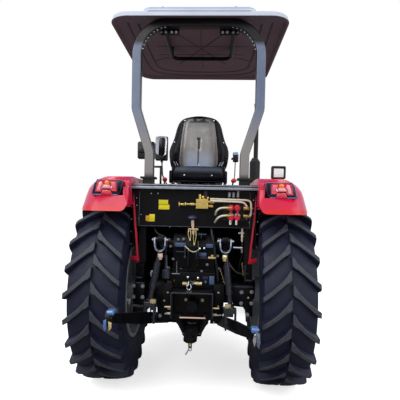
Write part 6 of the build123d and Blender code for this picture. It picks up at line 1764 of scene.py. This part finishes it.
class BuildStage(bpy.types.Operator):
    """Pale floor, soft lights, white surroundings and the camera"""
    bl_idname = "tractor.stage"
    bl_label = "Stage"

    def execute(self, context):
        sizes, scene = context.scene.tractor_stage, context.scene
        scene.view_settings.view_transform = "Standard"
        floor = start("plane", size=160)
        in_edit(floor, lambda: bpy.ops.mesh.subdivide(number_cuts=3))
        floor.name = "floor"
        floor.data.materials.append(self.floor_paint())
        scene.world = self.studio(sizes)
        for name, place, aim, size, share in (("key", (-3.2, -4.5, 5.2), (0, -0.6, 1.2), 5.0, 1.0),
                                              ("fill", (4.2, -3.6, 3.0), (0, -0.6, 1.2), 5.0, 0.45),
                                              ("top", (0, 1.0, 6.0), (0, 0, 1.0), 4.0, 0.5)):
            bpy.ops.object.select_all(action="DESELECT")
            bpy.ops.object.light_add(type="AREA", location=place)
            lamp = bpy.context.view_layer.objects.active
            lamp.name = name + "_light"
            lamp.data.energy, lamp.data.size = sizes.key_power * share, size
            lamp.rotation_euler = (Vector(aim) - Vector(place)).to_track_quat("-Z", "Y").to_euler()
        scene.camera = self.camera(sizes.camera_place)
        return {"FINISHED"}

    def floor_paint(self):
        """Pale to the camera, and a mid grey with no glow of its own to everything else."""
        paint = bpy.data.materials.new("floor_paint")
        paint.use_nodes = True
        tree = paint.node_tree
        tree.nodes.clear()
        seen = add_node(tree, "LightPath").outputs["Is Camera Ray"]
        colour = blend_colours(tree, seen, srgb("#8c8c8c"), srgb("#f4f4f4"))
        board = add_node(tree, "BsdfDiffuse", {"Color": colour})
        glow = add_node(tree, "Emission", {"Color": (1, 1, 1, 1), "Strength": 0.66})
        lit = add_node(tree, "AddShader", {0: board.outputs[0], 1: glow.outputs[0]})
        mixed = add_node(tree, "MixShader", {0: seen, 1: board.outputs[0], 2: lit.outputs[0]})
        add_node(tree, "OutputMaterial", {"Surface": mixed.outputs[0]})
        return paint

    def studio(self, sizes):
        """White where it is seen, mirrored or looked at through glass, and softer as a light."""
        world = bpy.data.worlds.new("studio")
        world.use_nodes = True
        tree = world.node_tree
        tree.nodes.clear()
        path = add_node(tree, "LightPath").outputs
        shown = maths(tree, "MAXIMUM", maths(tree, "MAXIMUM", path["Is Camera Ray"], path["Is Glossy Ray"]),
                      path["Is Transmission Ray"])
        strength = add_node(tree, "MapRange", {"Value": shown, "To Min": sizes.sky, "To Max": 1.0}).outputs[0]
        sky = add_node(tree, "Background", {"Color": (*sizes.backdrop, 1), "Strength": strength})
        add_node(tree, "OutputWorld", {"Surface": sky.outputs[0]})
        return world

    def camera(self, place):
        """The camera behind the tractor, turned a little and with its picture shifted."""
        bpy.ops.object.camera_add(location=place)
        camera = bpy.context.view_layer.objects.active
        turn_z, turn_x, turn_y = 0.0415, -0.03, -0.0202
        right, ahead, above = (Matrix.Rotation(turn_z, 3, "Z") @ Matrix.Rotation(turn_x, 3, "X")
                               @ Matrix.Rotation(turn_y, 3, "Y")).col
        camera.rotation_euler = Matrix((right, above, -ahead)).transposed().to_euler()
        camera.data.sensor_width, camera.data.lens = 36.0, 35.51
        camera.data.shift_x, camera.data.shift_y = 0.0082, 0.0375
        camera.data.clip_end = 300
        return camera


class TractorPanel(bpy.types.Panel):
    """Lists the steps and their sizes"""
    bl_label = "Tractor"
    bl_idname = "VIEW3D_PT_tractor"
    bl_space_type = "VIEW_3D"
    bl_region_type = "UI"
    bl_category = "Tractor"

    def draw(self, context):
        for operator in OPERATORS:
            self.layout.operator(operator.bl_idname)
        for group in (context.scene.tractor_tyres, context.scene.tractor_seat, context.scene.tractor_stage):
            box = self.layout.box()
            for key in group.__annotations__:
                box.prop(group, key)


GROUPS = {"tractor_tyres": TractorTyres, "tractor_seat": TractorSeat, "tractor_stage": TractorStage}
OPERATORS = (FinishFrame, BuildTyres, BuildFenders, BuildSeat, BuildLamps, DetailDeck, DetailHitch,
             DetailAxle, DetailCab, DetailFront, BuildStage)


def register():
    for item in (*GROUPS.values(), *OPERATORS, TractorPanel):
        bpy.utils.register_class(item)
    for name, group in GROUPS.items():
        setattr(bpy.types.Scene, name, PointerProperty(type=group))


def unregister():
    for name in GROUPS:
        delattr(bpy.types.Scene, name)
    for item in reversed((*GROUPS.values(), *OPERATORS, TractorPanel)):
        bpy.utils.unregister_class(item)


def main():
    register()
    for operator in OPERATORS:
        space, name = operator.bl_idname.split(".")
        getattr(getattr(bpy.ops, space), name)()


if __name__ == "__main__":
    main()
